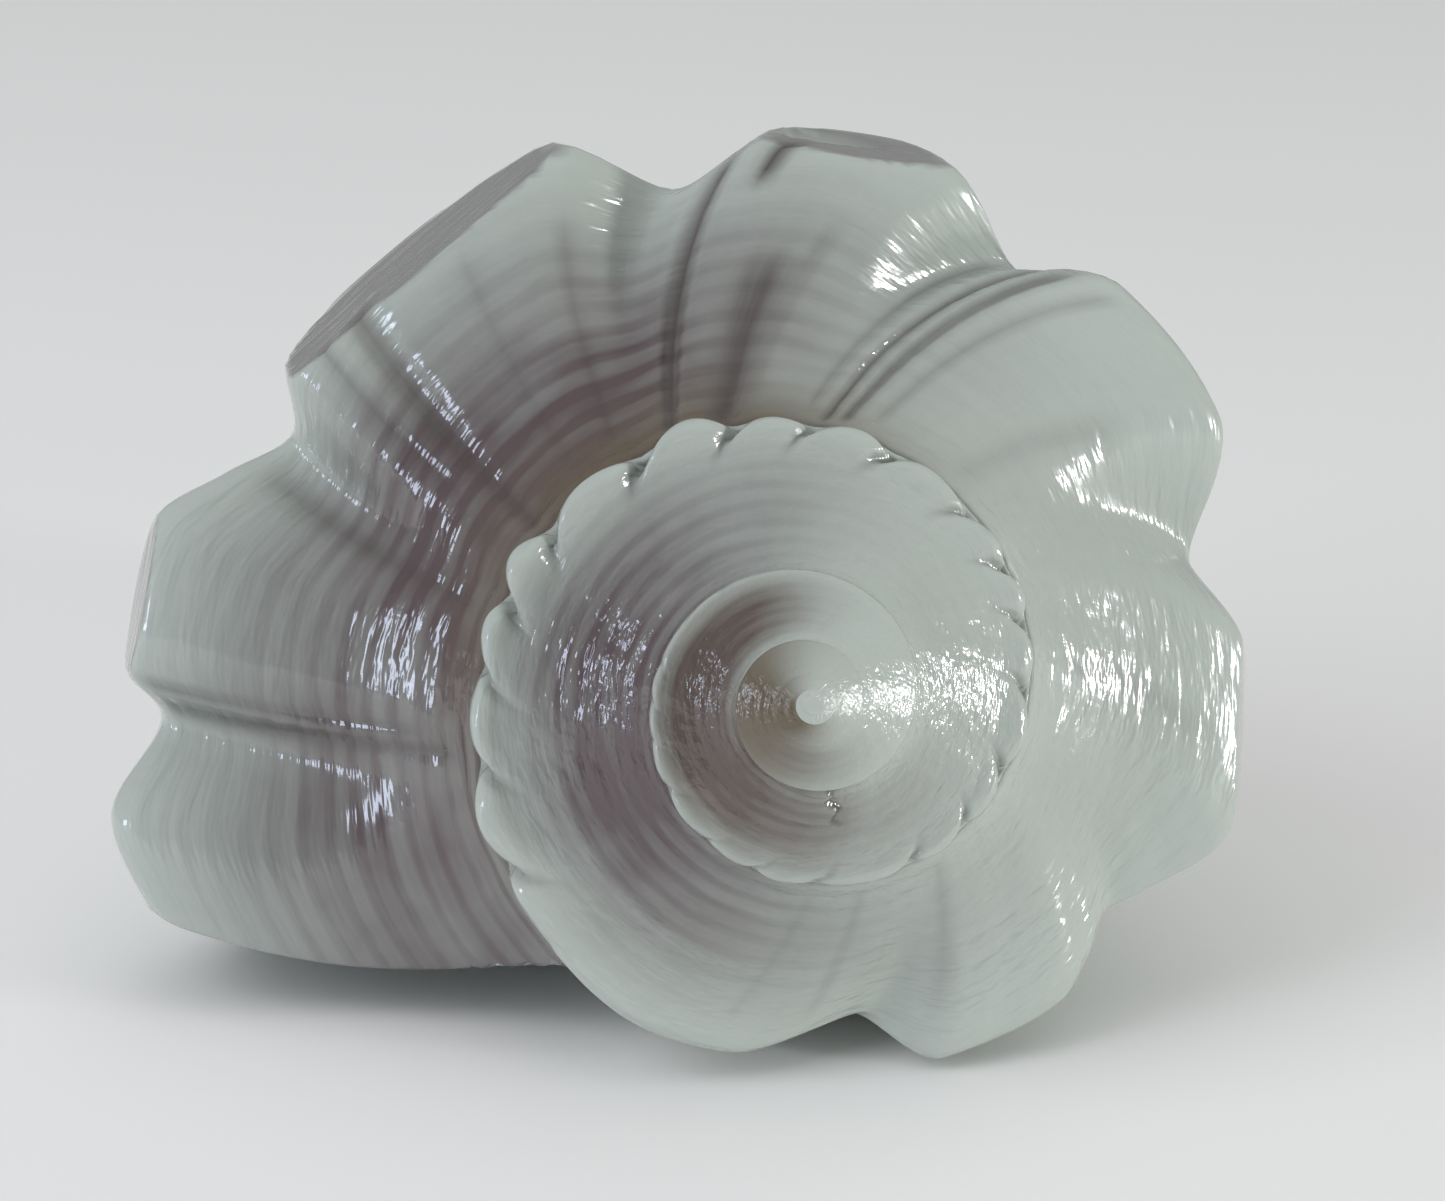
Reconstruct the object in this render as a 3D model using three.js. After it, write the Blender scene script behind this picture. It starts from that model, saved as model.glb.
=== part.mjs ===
// Conch shell: one grown wall from the apex to the outer lip.
// Units are millimetres, angles are degrees, +Z is up.
//
// The wall is laid out along growth lines. A growth line is named by the angle at which it crosses the
// shoulder, counted from the apex outwards, one turn for every 360 degrees. Every length grows by
// WHORL_GROWTH in one turn. Along a growth line the rows run from the suture over the ramp to the shoulder
// and down the side to the tip of the siphonal canal.
import * as THREE from 'three';

// Growth
const WHORL_GROWTH = 2.12;
const LIP_ANGLE = 1280;
const FIRST_ANGLE = -170;
const CLOSING_ANGLE = 955;
const STEPS_PER_BAND = 94;

// Size
const SHELL_LENGTH = 203;
const TIP_ROUNDING = 1.6;

// Resting pose
const AXIS_PITCH = 16.85;
const AXIS_ROLL = 1.67;

// Wall
const WALL = 6.2;
const CALLUS = 1.6;
const CAVITY_DEPTH = 430;
const CAVITY_STEPS = 46;

// Rows on one growth line: 0 is the suture, 1 the shoulder, NEXT_SUTURE the line the next whorl sits on,
// LAST_ROW the tip of the canal.
const NEXT_SUTURE = 1.2;
const LAST_ROW = 3;
const RAMP_ROWS = [0, 0.1, 0.25, 0.45, 0.66, 0.85, 1.0, NEXT_SUTURE];
const SIDE_ROWS = [0.07, 0.15, 0.25, 0.36, 0.47, 0.58, 0.69, 0.79, 0.87, 0.93, 0.97];

// A full-grown whorl at the shoulder and where the next whorl sits on it: distance from the axis and depth
// below the apex.
const SHOULDER_RADIUS = 100;
const SHOULDER_DEPTH = 63;
const REST_RADIUS = 98.5;
const REST_DEPTH = 74;

// Where the next whorl sits if the suture is flush.
const FLUSH_RADIUS = 101.5;
const FLUSH_DEPTH = 64.2;

// Ramp outline of a full-grown whorl: row, distance from the axis, depth below the apex.
const RAMP = [
  [0, 46.46, 34.9], [0.08, 48.6, 38.6], [0.2, 54, 44.2], [0.4, 66, 51.2], [0.6, 79, 56],
  [0.8, 91.5, 58.8], [0.92, 97.8, 60.4], [1, SHOULDER_RADIUS, SHOULDER_DEPTH], [1.08, 100.4, 66.6],
  [NEXT_SUTURE, REST_RADIUS, REST_DEPTH],
];

// The same outline on the inside of the wall.
const INNER_RAMP = [
  [0.22, 51.6, 50.3], [0.4, 63, 57], [0.6, 76.8, 62.2], [0.8, 87.6, 65.4], [0.92, 91.2, 67.2],
  [1, 92.4, 69], [1.08, 92.8, 71], [NEXT_SUTURE, 92.4, REST_DEPTH],
];

// Side outline: share of the way to the tip, share of the shoulder radius that is left.
const SIDE = [
  [0, 1], [0.12, 0.91], [0.25, 0.75], [0.4, 0.53], [0.55, 0.32], [0.7, 0.17], [0.85, 0.07], [1, 0],
];
const COLUMELLA = [[0, 20], [0.4, 14], [0.6, 11], [0.75, 9], [0.88, 7], [0.96, 4.5], [1, 0]];
const CANAL_WALL = [[0, 24], [0.4, 22.5], [0.6, 21], [0.75, 19], [0.88, 15.5], [0.96, 10.5], [1, 0]];

// Far end of the hollow inside the whorl: degrees in from the lip, share of the way to the tip.
const HOLLOW_END = [[0, 0.965], [25, 0.93], [70, 0.8], [120, 0.66], [180, 0.52], [330, 0.42], [460, 0.4]];

// Shoulder of the body whorl: growth line, reach compared with the plain spiral, rise of the knob.
const SHOULDER = [
  [930, 1, 0], [945, 1.01, 0.4], [960, 1.02, 0.8], [978, 0.99, 0.5], [1000, 0.855, -0.7], [1012, 1.0, 0.7],
  [1030, 1.0, 0.5], [1036, 0.97, 0.1], [1044, 0.91, -0.5], [1050, 0.95, -0.1], [1062, 1.045, 0.8],
  [1083, 1.0, 0.8], [1097, 0.89, -0.7], [1113, 1.035, 0.9], [1131, 1.02, 0.8], [1141, 0.916, -0.8],
  [1153, 1.02, 0.9], [1159, 1.05, 0.9], [1170, 1.02, 0.8], [1183, 0.9, -0.9], [1196, 1.03, 0.8],
  [1211, 1.03, 0.5], [1226, 0.99, 0.6], [1234, 0.89, -0.7], [1240, 0.95, 0], [1246, 1.025, 0.7],
  [1252, 1.04, 0.9], [1258, 1.03, 0.8], [1264, 0.955, -0.5], [1272, 1.03, 0.7], [1280, 1.0, 0.5],
];
const KNOB_RISE = 4.5;

// How far each growth line runs ahead at the suture, growth line against degrees.
const SUTURE_LEAD = [
  [1000, 24], [1097, 28], [1141, 32], [1165, 26], [1183, 21], [1207, 12], [1258, 10], [1280, 35],
];
const LIP_BEND = 0.3;
const LIP_FLARE_START = 1225;
const LIP_SWEEP = 11;
const PARIETAL_SWEEP = 4;

// Grooves between knobs: growth line, half width, depth, row where the groove begins.
// A groove reaches its full depth GROOVE_START rows further out.
const GROOVES = [
  [1000, 6, 2.5, 0.2], [1036, 5, 2, 0.3], [1097, 6, 2.5, 0.2], [1134.5, 2.6, 1.8, 0.05],
  [1141, 3.4, 2.2, 0.3], [1183, 4.5, 2.8, 0.25], [1175, 2.2, 1.7, 0.02], [1217, 2.2, 1.6, 0.2],
  [1234, 5, 2.4, 0.2], [1259, 2, 1.8, 0.15], [1264, 3, 2, 0.1],
];

// Flats ground on the knobs: angle, distance from the axis, degrees by which the face leans to the apex.
// FLAT_EDGE rounds their rims and FLAT_SPAN keeps each one to the growth lines near it.
const FLATS = [
  [1079, 65.4, 15], [1163, 78.8, 21], [1212, 82, 17], [1251, 95.6, 12],
];

const FLAT_EDGE = 0.35;
const FLAT_SPAN = 26;
const FIRST_GROUND_LINE = 1030;
const GROOVE_START = 0.4;

// How the knobs fade: over the ramp as a power of the row, down the side as a share of its length. The
// hollow inside follows the knobs only up to INNER_REACH.
const KNOB_POWER = 1.6;
const KNOB_SHARE = 0.2;
const INNER_KNOB_SHARE = 0.3;
const INNER_REACH = 0.97;

// Nodules along the rims of the inner whorls. The rim is a low ridge round RIM_ROW, RIM_WIDTH rows wide.
const NODULE_SPACING = 18.5;
const NODULE_REACH = 7;
const NODULE_RISE = 4;
const NODULE_MEAN = 0.5;
const RIM_RISE = 2.6;
const RIM_START = 380;
const RIM_END = 925;
const RIM_ROW = 0.93;
const RIM_WIDTH = 0.13;
const NODULE_ROW = 0.99;

// The ramp runs into the whorl before it over its first rows.
const START_ROWS = 0.6;
const START_POWER = 1.7;

// Rounded lip: degrees turned from the outside of the wall to its inside, and how far it bulges.
const LIP_TURNS = [35, 72, 108, 145];
const LIP_BULGE = 0.45 * WALL;
const CAVITY_START = 3;
const CAVITY_SPREAD = 1.15;
const INNER_FIRST_ROW = 0.22;
const INNER_FIRST_SHARE = 0.08;

// Angles of the side where the sutures are deep, where the ramp is hollow and where the nodules are largest.
const DEEP_SIDE = 195;
const HOLLOW_SIDE = 190;
const LARGE_NODULES = 850;

// Slope of the straight cone that the shell keeps near its apex.
const CONE_SLOPE = SHOULDER_DEPTH / SHOULDER_RADIUS;

const radians = (degrees) => degrees * Math.PI / 180;

function smoothStep(low, high, x) {
  const t = Math.min(1, Math.max(0, (x - low) / (high - low)));
  return t * t * (3 - 2 * t);
}

// Smooth curve through the points of a list, read from its first column.
function follow(list, x, column = 1) {
  const last = list.length - 1;
  if (x <= list[0][0]) {
    return list[0][column];
  }
  if (x >= list[last][0]) {
    return list[last][column];
  }
  let i = 0;
  while (list[i + 1][0] < x) {
    i += 1;
  }
  const slopeAt = (j) => {
    if (j === 0 || j === last) {
      const a = Math.min(j, last - 1);
      return (list[a + 1][column] - list[a][column]) / (list[a + 1][0] - list[a][0]);
    }
    const before = (list[j][column] - list[j - 1][column]) / (list[j][0] - list[j - 1][0]);
    const after = (list[j + 1][column] - list[j][column]) / (list[j + 1][0] - list[j][0]);
    return before * after <= 0 ? 0 : 2 * before * after / (before + after);
  };
  const width = list[i + 1][0] - list[i][0];
  const t = (x - list[i][0]) / width;
  const rise = list[i + 1][column] - list[i][column];
  const m0 = slopeAt(i) * width;
  const m1 = slopeAt(i + 1) * width;
  return list[i][column] + t * (m0 + t * (3 * rise - 2 * m0 - m1 + t * (m0 + m1 - 2 * rise)));
}

const growth = (angle) => WHORL_GROWTH ** ((angle - LIP_ANGLE) / 360);
const sutureLead = (line) => follow(SUTURE_LEAD, line);

// Angle at which a growth line crosses a row.
function angleAt(line, row) {
  if (row < 1) {
    const bend = 1 + LIP_BEND * smoothStep(LIP_FLARE_START, LIP_ANGLE, line);
    return line + sutureLead(line) * (1 - row) ** bend;
  }
  if (row <= NEXT_SUTURE) {
    return line;
  }
  const share = (row - NEXT_SUTURE) / (LAST_ROW - NEXT_SUTURE);
  const grown = smoothStep(CLOSING_ANGLE, LIP_ANGLE, line);
  const sweep = PARIETAL_SWEEP + (LIP_SWEEP - PARIETAL_SWEEP) * grown;
  return line + sweep * Math.sin(radians(90 * share ** 0.75));
}

// Nodules grow from the third turn, are largest on the far side of the apex and end where the body begins.
function noduleSize(angle) {
  const size = 0.68 + 0.2 * Math.sin(radians(angle * 2.63 + 20)) + 0.3 * Math.sin(radians(angle * 8.3));
  const farSide = 0.55 + 0.45 * (0.5 + 0.5 * Math.cos(radians(angle - LARGE_NODULES)));
  const grown = smoothStep(430, 780, angle) * (1 - smoothStep(RIM_END, RIM_END + 25, angle));
  return size * farSide * grown;
}

// Small rounded nodules on the inner whorls, parted by narrow folds.
function nodule(angle) {
  const slow = 6 * Math.sin(radians(angle * 0.83)) + 4 * Math.sin(radians(angle * 1.9 + 40));
  const wander = slow + 2.5 * Math.sin(radians(angle * 5.3));
  const fold = Math.abs(Math.cos(radians((angle + wander) * 180 / NODULE_SPACING)));
  return noduleSize(angle) * (fold ** 0.8 - NODULE_MEAN);
}

// How deep the suture lies below the rim it leans on: deep on one side of the shell, nearly flush opposite.
function sutureDepth(angle) {
  const around = 0.03 + 0.97 * (0.5 + 0.5 * Math.cos(radians(angle - DEEP_SIDE))) ** 0.9;
  const early = around * smoothStep(80, 330, angle);
  return 1 - (1 - early) * (1 - smoothStep(900, CLOSING_ANGLE, angle));
}

// Where a whorl runs straight on from the one before, without a hollow: near the apex and on one side.
function straightness(line) {
  const facing = (0.5 - 0.5 * Math.cos(radians(line - HOLLOW_SIDE))) ** 1.5;
  const oneSide = facing * (1 - 0.45 * smoothStep(740, 1000, line));
  return 1 - smoothStep(120, 420, line) * (1 - 0.85 * oneSide);
}

function rimOffset(angle, row) {
  const near = Math.exp(-(((row - NODULE_ROW) / RIM_WIDTH) ** 2));
  const amount = nodule(angle) * (row > 1 ? Math.max(near, 0.25) : near);
  return [NODULE_REACH * amount, -NODULE_RISE * amount * (row > 1.1 ? 0 : 1)];
}

// Line on a whorl, below its rim, where the next whorl is attached: distance from the axis and depth.
function attachment(angle) {
  const k = growth(angle);
  const drop = sutureDepth(angle);
  const [out] = rimOffset(angle, NEXT_SUTURE);
  const radius = FLUSH_RADIUS + (REST_RADIUS - FLUSH_RADIUS) * drop + out;
  const depth = FLUSH_DEPTH + (REST_DEPTH - FLUSH_DEPTH) * drop;
  return [radius * k, depth * k];
}

function grooveDepth(line, row) {
  let depth = 0;
  for (const [centre, width, deep, start] of GROOVES) {
    const across = Math.exp(-(((line - centre) / width) ** 2));
    const along = smoothStep(start, start + GROOVE_START, row) * (1 - smoothStep(1.0, 1.25, row));
    depth = Math.max(depth, deep * across * along);
  }
  return depth;
}

// How far out a row of the ramp is carried by the knobs, compared with the plain spiral.
function knobReach(line, row) {
  return 1 + (follow(SHOULDER, line, 1) - 1) * Math.min(1, row) ** KNOB_POWER;
}

// How far the grooves sink and the knobs lift the ramp.
function sink(line, row) {
  const lobe = smoothStep(0.3, 0.85, row) * (1 - smoothStep(0.95, 1.3, row));
  return grooveDepth(line, row) - KNOB_RISE * follow(SHOULDER, line, 2) * lobe;
}

// Outline of a full-grown whorl past the shoulder, between a flush suture and a deep one.
function footOutline(line, row) {
  const past = (row - 1) / (NEXT_SUTURE - 1);
  const flush = 1 - sutureDepth(line);
  const radius = follow(RAMP, row, 1);
  const depth = follow(RAMP, row, 2);
  const flushRadius = SHOULDER_RADIUS + (FLUSH_RADIUS - SHOULDER_RADIUS) * past;
  const flushDepth = SHOULDER_DEPTH + (FLUSH_DEPTH - SHOULDER_DEPTH) * past;
  return [radius + (flushRadius - radius) * flush, depth + (flushDepth - depth) * flush];
}

// Distance from the axis and depth of a point of the ramp, on the outside of the wall.
function rampOutline(line, row) {
  const angle = angleAt(line, row);
  const k = growth(angle);
  const [startRadius, startDepth] = attachment(angle - 360);
  const [noduleOut, noduleUp] = rimOffset(line, row);
  const [footOut] = rimOffset(line, NEXT_SUTURE);
  const start = (1 - Math.min(1, row / START_ROWS)) ** START_POWER;
  const foot = smoothStep(1, NEXT_SUTURE, row);
  const straight = straightness(line);
  const out = knobReach(line, row);
  const full = follow(RAMP, row, 1);
  const sunk = follow(RAMP, row, 2) * (1 - straight) + full * CONE_SLOPE * straight;
  const startSunk = RAMP[0][2] * (1 - straight) + RAMP[0][1] * CONE_SLOPE * straight;
  const rim = smoothStep(RIM_START, RIM_START + 100, line) * (1 - smoothStep(RIM_END, RIM_END + 75, line));
  const raised = (RIM_RISE * rim * Math.exp(-(((row - RIM_ROW) / RIM_WIDTH) ** 2)) - noduleUp) * (1 - foot);
  const [plainRadius, plainDepth] = row > 1 ? footOutline(line, row) : [full, sunk];
  const radius = k * (plainRadius * out + noduleOut * (1 - foot) + footOut * foot)
    + start * (startRadius - RAMP[0][1] * k);
  const depth = k * (plainDepth - raised + sink(line, row)) + start * (startDepth - startSunk * k);
  return [radius, depth];
}

// The same for the side of a whorl that starts at a given radius and depth. The knobs fade out over a share
// of it.
function sideOutline(line, row, topRadius, topDepth, reach, knobShare) {
  const share = (row - NEXT_SUTURE) / (LAST_ROW - NEXT_SUTURE);
  const grown = smoothStep(CLOSING_ANGLE, LIP_ANGLE, line);
  const stem = follow(COLUMELLA, share) * (1 - grown) + follow(CANAL_WALL, share) * grown;
  const stemTop = COLUMELLA[0][1] * (1 - grown) + CANAL_WALL[0][1] * grown;
  const knob = 1 + (reach - 1) * Math.exp(-((share / knobShare) ** 2));
  const radius = stem + (topRadius * knob - stemTop) * follow(SIDE, share);
  return [radius, topDepth + (SHELL_LENGTH - topDepth) * share];
}

function outline(line, row) {
  if (row <= NEXT_SUTURE) {
    return rampOutline(line, row);
  }
  return sideOutline(line, row, ...attachment(line), follow(SHOULDER, line, 1), KNOB_SHARE);
}

// The same whorl without its nodules and flats and with shallower knobs. The inside of the wall follows it.
function plainOutline(line, row) {
  const k = growth(angleAt(line, row));
  const reach = Math.min(INNER_REACH, follow(SHOULDER, line, 1));
  if (row <= NEXT_SUTURE) {
    const out = 1 + (reach - 1) * Math.min(1, row) ** KNOB_POWER;
    const lowered = follow(INNER_RAMP, row, 2) + 0.75 * Math.max(0, sink(line, row));
    const depth = Math.min(lowered, REST_DEPTH - 6 * (NEXT_SUTURE - row));
    return [follow(INNER_RAMP, row, 1) * k * out, depth * k];
  }
  return sideOutline(line, row, REST_RADIUS * k, REST_DEPTH * k, reach, INNER_KNOB_SHARE);
}

// A point on the side of the plain whorl, moved inwards by a distance (outwards where it is negative).
function inset(line, row, distance) {
  const step = 0.04;
  const before = plainOutline(line, Math.max(NEXT_SUTURE + 0.001, row - step));
  const after = plainOutline(line, Math.min(LAST_ROW - 0.01, row + step));
  const here = plainOutline(line, row);
  const out = after[0] - before[0];
  const down = after[1] - before[1];
  const length = Math.hypot(out, down);
  return turn(here[0] - distance * down / length, here[1] + distance * out / length, angleAt(line, row));
}

function turn(radius, depth, angle) {
  const rounded = Math.sqrt(depth * depth + TIP_ROUNDING * TIP_ROUNDING);
  return new THREE.Vector3(radius * Math.cos(radians(angle)), rounded, radius * Math.sin(radians(angle)));
}

// Grinds a point down to the flats on the knobs.
function grind(point, line) {
  for (const [angle, distance, lean] of FLATS) {
    if (Math.abs(line - angle) < FLAT_SPAN) {
      const tilt = radians(lean);
      const cos = Math.cos(radians(angle));
      const sin = Math.sin(radians(angle));
      const normal = new THREE.Vector3(cos * Math.cos(tilt), -Math.sin(tilt), sin * Math.cos(tilt));
      const centre = new THREE.Vector3(distance * cos, SHOULDER_DEPTH * growth(angle), distance * sin);
      const over = point.clone().sub(centre).dot(normal);
      const cut = FLAT_EDGE * Math.log(1 + Math.exp(Math.min(40, over / FLAT_EDGE)));
      point.addScaledVector(normal, -cut);
    }
  }
  return point;
}

function outside(line, row) {
  const [radius, depth] = outline(line, row);
  const point = turn(radius, depth, angleAt(line, row));
  return row > 0.5 && row < 2 && line > FIRST_GROUND_LINE ? grind(point, line) : point;
}

// Growth lines, spaced so that the foot of each one meets the suture of the line one turn later.
function growthLines() {
  const lines = [];
  const bandStep = (360 - sutureLead(0)) / STEPS_PER_BAND;
  const steps = Math.round((CLOSING_ANGLE - FIRST_ANGLE) / bandStep);
  for (let i = 0; i <= steps; i += 1) {
    lines.push(CLOSING_ANGLE + (i - steps) * bandStep);
  }
  const closing = steps;
  for (let i = 1; i <= STEPS_PER_BAND; i += 1) {
    const target = lines[closing + i - STEPS_PER_BAND] + 360;
    let low = CLOSING_ANGLE;
    let high = LIP_ANGLE + 30;
    for (let n = 0; n < 50; n += 1) {
      const middle = (low + high) / 2;
      if (middle + sutureLead(middle) < target) {
        low = middle;
      } else {
        high = middle;
      }
    }
    lines.push(low);
  }
  return { lines, closing };
}

function buildShell() {
  const positions = [];
  const triangles = [];
  const addPoint = (point) => {
    positions.push(point);
    return positions.length - 1;
  };
  const addQuad = (a, b, c, d) => {
    triangles.push([a, b, c], [a, c, d]);
  };
  const { lines, closing } = growthLines();
  const lipIndex = lines.length - 1;
  const footRow = RAMP_ROWS.length - 1;
  const sideRows = SIDE_ROWS.map((share) => NEXT_SUTURE + share * (LAST_ROW - NEXT_SUTURE));

  // Spire and body whorl
  const grid = [];
  const tip = addPoint(turn(0, SHELL_LENGTH, 0));
  for (let i = 0; i <= lipIndex; i += 1) {
    const column = [];
    for (let r = 0; r <= footRow; r += 1) {
      const welded = r === 0 && i >= STEPS_PER_BAND;
      column.push(welded ? grid[i - STEPS_PER_BAND][footRow] : addPoint(outside(lines[i], RAMP_ROWS[r])));
    }
    if (i >= closing) {
      for (const row of sideRows) {
        column.push(addPoint(outside(lines[i], row)));
      }
      column.push(tip);
    }
    grid.push(column);
  }
  for (let i = 0; i < lipIndex; i += 1) {
    const count = Math.min(grid[i].length, grid[i + 1].length);
    for (let r = 0; r < count - 1; r += 1) {
      if (grid[i][r + 1] === tip) {
        triangles.push([grid[i][r], grid[i + 1][r], tip]);
      } else {
        addQuad(grid[i][r], grid[i + 1][r], grid[i + 1][r + 1], grid[i][r + 1]);
      }
    }
  }

  // Apex
  const apex = addPoint(turn(0, 0, 0));
  const crown = [];
  for (let i = 0; i <= STEPS_PER_BAND; i += 1) {
    crown.push(grid[i][0]);
  }
  for (let r = footRow - 1; r >= 1; r -= 1) {
    crown.push(grid[0][r]);
  }
  for (let i = 0; i < crown.length; i += 1) {
    triangles.push([crown[(i + 1) % crown.length], crown[i], apex]);
  }
  return { positions, triangles, grid, closing, lipIndex, footRow, sideRows, tip, addPoint };
}

// Rounded lip, inner side of the last whorl and the cavity behind it.
function buildCavity(shell) {
  const { positions, triangles, grid, closing, lipIndex, footRow, sideRows, addPoint } = shell;
  const lipRows = [...RAMP_ROWS, ...sideRows];
  const lastShare = SIDE_ROWS[SIDE_ROWS.length - 1];
  const lipRing = grid[lipIndex].slice(0, -1);
  const wallRing = grid[closing].slice(footRow + 1, -1).reverse();
  let ring = [...lipRing, shell.tip, ...wallRing];
  const bridge = (next) => {
    for (let i = 0; i < ring.length; i += 1) {
      const j = (i + 1) % ring.length;
      triangles.push([ring[i], next[i], next[j]], [ring[i], next[j], ring[j]]);
    }
    ring = next;
  };
  const innerRing = (back) => {
    const line = LIP_ANGLE - back;
    const wallLine = line + sutureLead(line) - 360;
    const k = growth(line);
    const end = follow(HOLLOW_END, back);
    const settled = smoothStep(-12, 32, back);
    const lipSide = [];
    const wallSide = [];
    for (const row of lipRows) {
      let inner = row;
      if (row < 1) {
        inner = INNER_FIRST_ROW + (1 - INNER_FIRST_ROW) * row;
      } else if (row > NEXT_SUTURE) {
        inner = NEXT_SUTURE + (row - NEXT_SUTURE) * end / lastShare;
      }
      const share = Math.max(0, (inner - NEXT_SUTURE) / (LAST_ROW - NEXT_SUTURE));
      if (row <= NEXT_SUTURE) {
        const [radius, depth] = plainOutline(line, inner);
        const full = turn(radius, depth, angleAt(line, inner));
        const corner = 1 - smoothStep(0, 0.75, row);
        lipSide.push(outside(line, row).lerp(full, 1 - (1 - settled) * corner));
      } else {
        lipSide.push(inset(line, inner, WALL * k * (1 - 0.5 * share)));
      }
    }
    const lipTop = REST_DEPTH * k;
    const wallTop = REST_DEPTH * growth(wallLine);
    const endDepth = lipTop + (SHELL_LENGTH - lipTop) * end;
    const wallEnd = (endDepth - wallTop) / (SHELL_LENGTH - wallTop);
    const callus = CALLUS * k * smoothStep(-2, 28, back);
    for (const share of [...SIDE_ROWS].reverse()) {
      const passed = (share - SIDE_ROWS[0]) / (lastShare - SIDE_ROWS[0]);
      const along = INNER_FIRST_SHARE + (wallEnd - INNER_FIRST_SHARE) * passed;
      wallSide.push(inset(wallLine, NEXT_SUTURE + along * (LAST_ROW - NEXT_SUTURE), -callus));
    }
    const bottom = lipSide[lipSide.length - 1].clone().lerp(wallSide[0], 0.5);
    return [...lipSide, bottom, ...wallSide];
  };
  // The lip is rounded over from the outside of the wall to its inside.
  const outer = ring.map((index) => positions[index].clone());
  const inside = innerRing(CAVITY_START);
  const ahead = outer.map((point, i) => {
    if (i >= lipRows.length) {
      return new THREE.Vector3();
    }
    const row = lipRows[i];
    return outside(LIP_ANGLE, row).sub(outside(LIP_ANGLE - 1.5, row)).normalize();
  });
  for (const turned of LIP_TURNS) {
    const share = 0.5 - 0.5 * Math.cos(radians(turned));
    const bulge = Math.sin(radians(turned)) * LIP_BULGE;
    bridge(outer.map((point, i) => {
      const row = i < lipRows.length ? lipRows[i] : 0;
      const fade = smoothStep(0.1, 0.6, row) * (1 - smoothStep(2.2, LAST_ROW, row));
      return addPoint(point.clone().lerp(inside[i], share).addScaledVector(ahead[i], bulge * fade));
    }));
  }
  for (let i = 0; i <= CAVITY_STEPS; i += 1) {
    const back = CAVITY_START + (CAVITY_DEPTH - CAVITY_START) * (i / CAVITY_STEPS) ** CAVITY_SPREAD;
    bridge(innerRing(back).map(addPoint));
  }
  const centre = new THREE.Vector3();
  for (const index of ring) {
    centre.addScaledVector(positions[index], 1 / ring.length);
  }
  const end = addPoint(centre);
  for (let i = 0; i < ring.length; i += 1) {
    triangles.push([ring[i], end, ring[(i + 1) % ring.length]]);
  }
}

const shell = buildShell();
buildCavity(shell);

// Lays the shell down on its aperture side and centres it over the origin.
const pose = new THREE.Matrix4().makeRotationX(radians(-AXIS_PITCH))
  .multiply(new THREE.Matrix4().makeRotationY(radians(AXIS_ROLL)));
const box = new THREE.Box3();
for (const point of shell.positions) {
  point.applyMatrix4(pose);
  box.expandByPoint(point);
}
const middle = box.getCenter(new THREE.Vector3());
const coordinates = [];
for (const point of shell.positions) {
  coordinates.push(point.x - middle.x, point.y - middle.y, point.z - box.min.z);
}

const geometry = new THREE.BufferGeometry();
geometry.setAttribute('position', new THREE.Float32BufferAttribute(coordinates, 3));
geometry.setIndex(shell.triangles.map(([a, b, c]) => [a, c, b]).flat());
geometry.computeVertexNormals();

const mesh = new THREE.Mesh(geometry, new THREE.MeshStandardMaterial({ color: 0xdfe0d8, roughness: 0.15 }));
mesh.name = 'shell';

const group = new THREE.Group();
group.name = 'conch_shell';
group.add(mesh);

export default group;
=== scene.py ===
import math

import bpy
import numpy as np
from mathutils import Matrix, Vector


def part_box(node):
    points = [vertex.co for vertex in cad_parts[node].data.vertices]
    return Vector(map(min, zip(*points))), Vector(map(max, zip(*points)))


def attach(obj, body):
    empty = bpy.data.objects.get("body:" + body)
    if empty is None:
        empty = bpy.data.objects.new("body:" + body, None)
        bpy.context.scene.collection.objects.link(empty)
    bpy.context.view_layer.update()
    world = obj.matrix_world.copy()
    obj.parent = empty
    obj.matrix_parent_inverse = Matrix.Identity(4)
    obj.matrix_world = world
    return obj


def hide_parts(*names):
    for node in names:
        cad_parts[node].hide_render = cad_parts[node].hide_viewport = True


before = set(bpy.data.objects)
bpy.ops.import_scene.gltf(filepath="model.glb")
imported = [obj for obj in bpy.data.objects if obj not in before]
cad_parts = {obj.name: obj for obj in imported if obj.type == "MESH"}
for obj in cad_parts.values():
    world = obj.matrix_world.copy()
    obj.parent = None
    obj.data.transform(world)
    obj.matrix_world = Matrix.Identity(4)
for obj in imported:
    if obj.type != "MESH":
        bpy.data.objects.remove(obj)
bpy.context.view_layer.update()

bl_info = {
    "name": "Conch Shell",
    "version": (1, 0, 0),
    "blender": (4, 5, 0),
    "location": "View3D > Sidebar > Conch",
    "description": "Grows a polished, knobbed conch shell and lights it",
    "category": "Add Mesh",
}

MM = 0.001

# Rows on one growth line: 0 is the suture, 1 the shoulder, NEXT_SUTURE the line the next whorl sits on,
# LAST_ROW the tip of the canal. A growth line is named by the angle at which it crosses the shoulder.
NEXT_SUTURE = 1.2
LAST_ROW = 3.0
FIRST_ANGLE = -700.0
LIP_ANGLE = 1280.0
CLOSING_ANGLE = 955.0

# A full-grown whorl at the shoulder, where the next whorl sits on it at a deep suture, and where it sits at a
# flush one: distance from the axis and depth below the apex.
SHOULDER_RADIUS = 100.0
SHOULDER_DEPTH = 63.0
REST_RADIUS = 98.5
REST_DEPTH = 74.0
FLUSH_RADIUS = 101.5
FLUSH_DEPTH = 64.2

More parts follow.
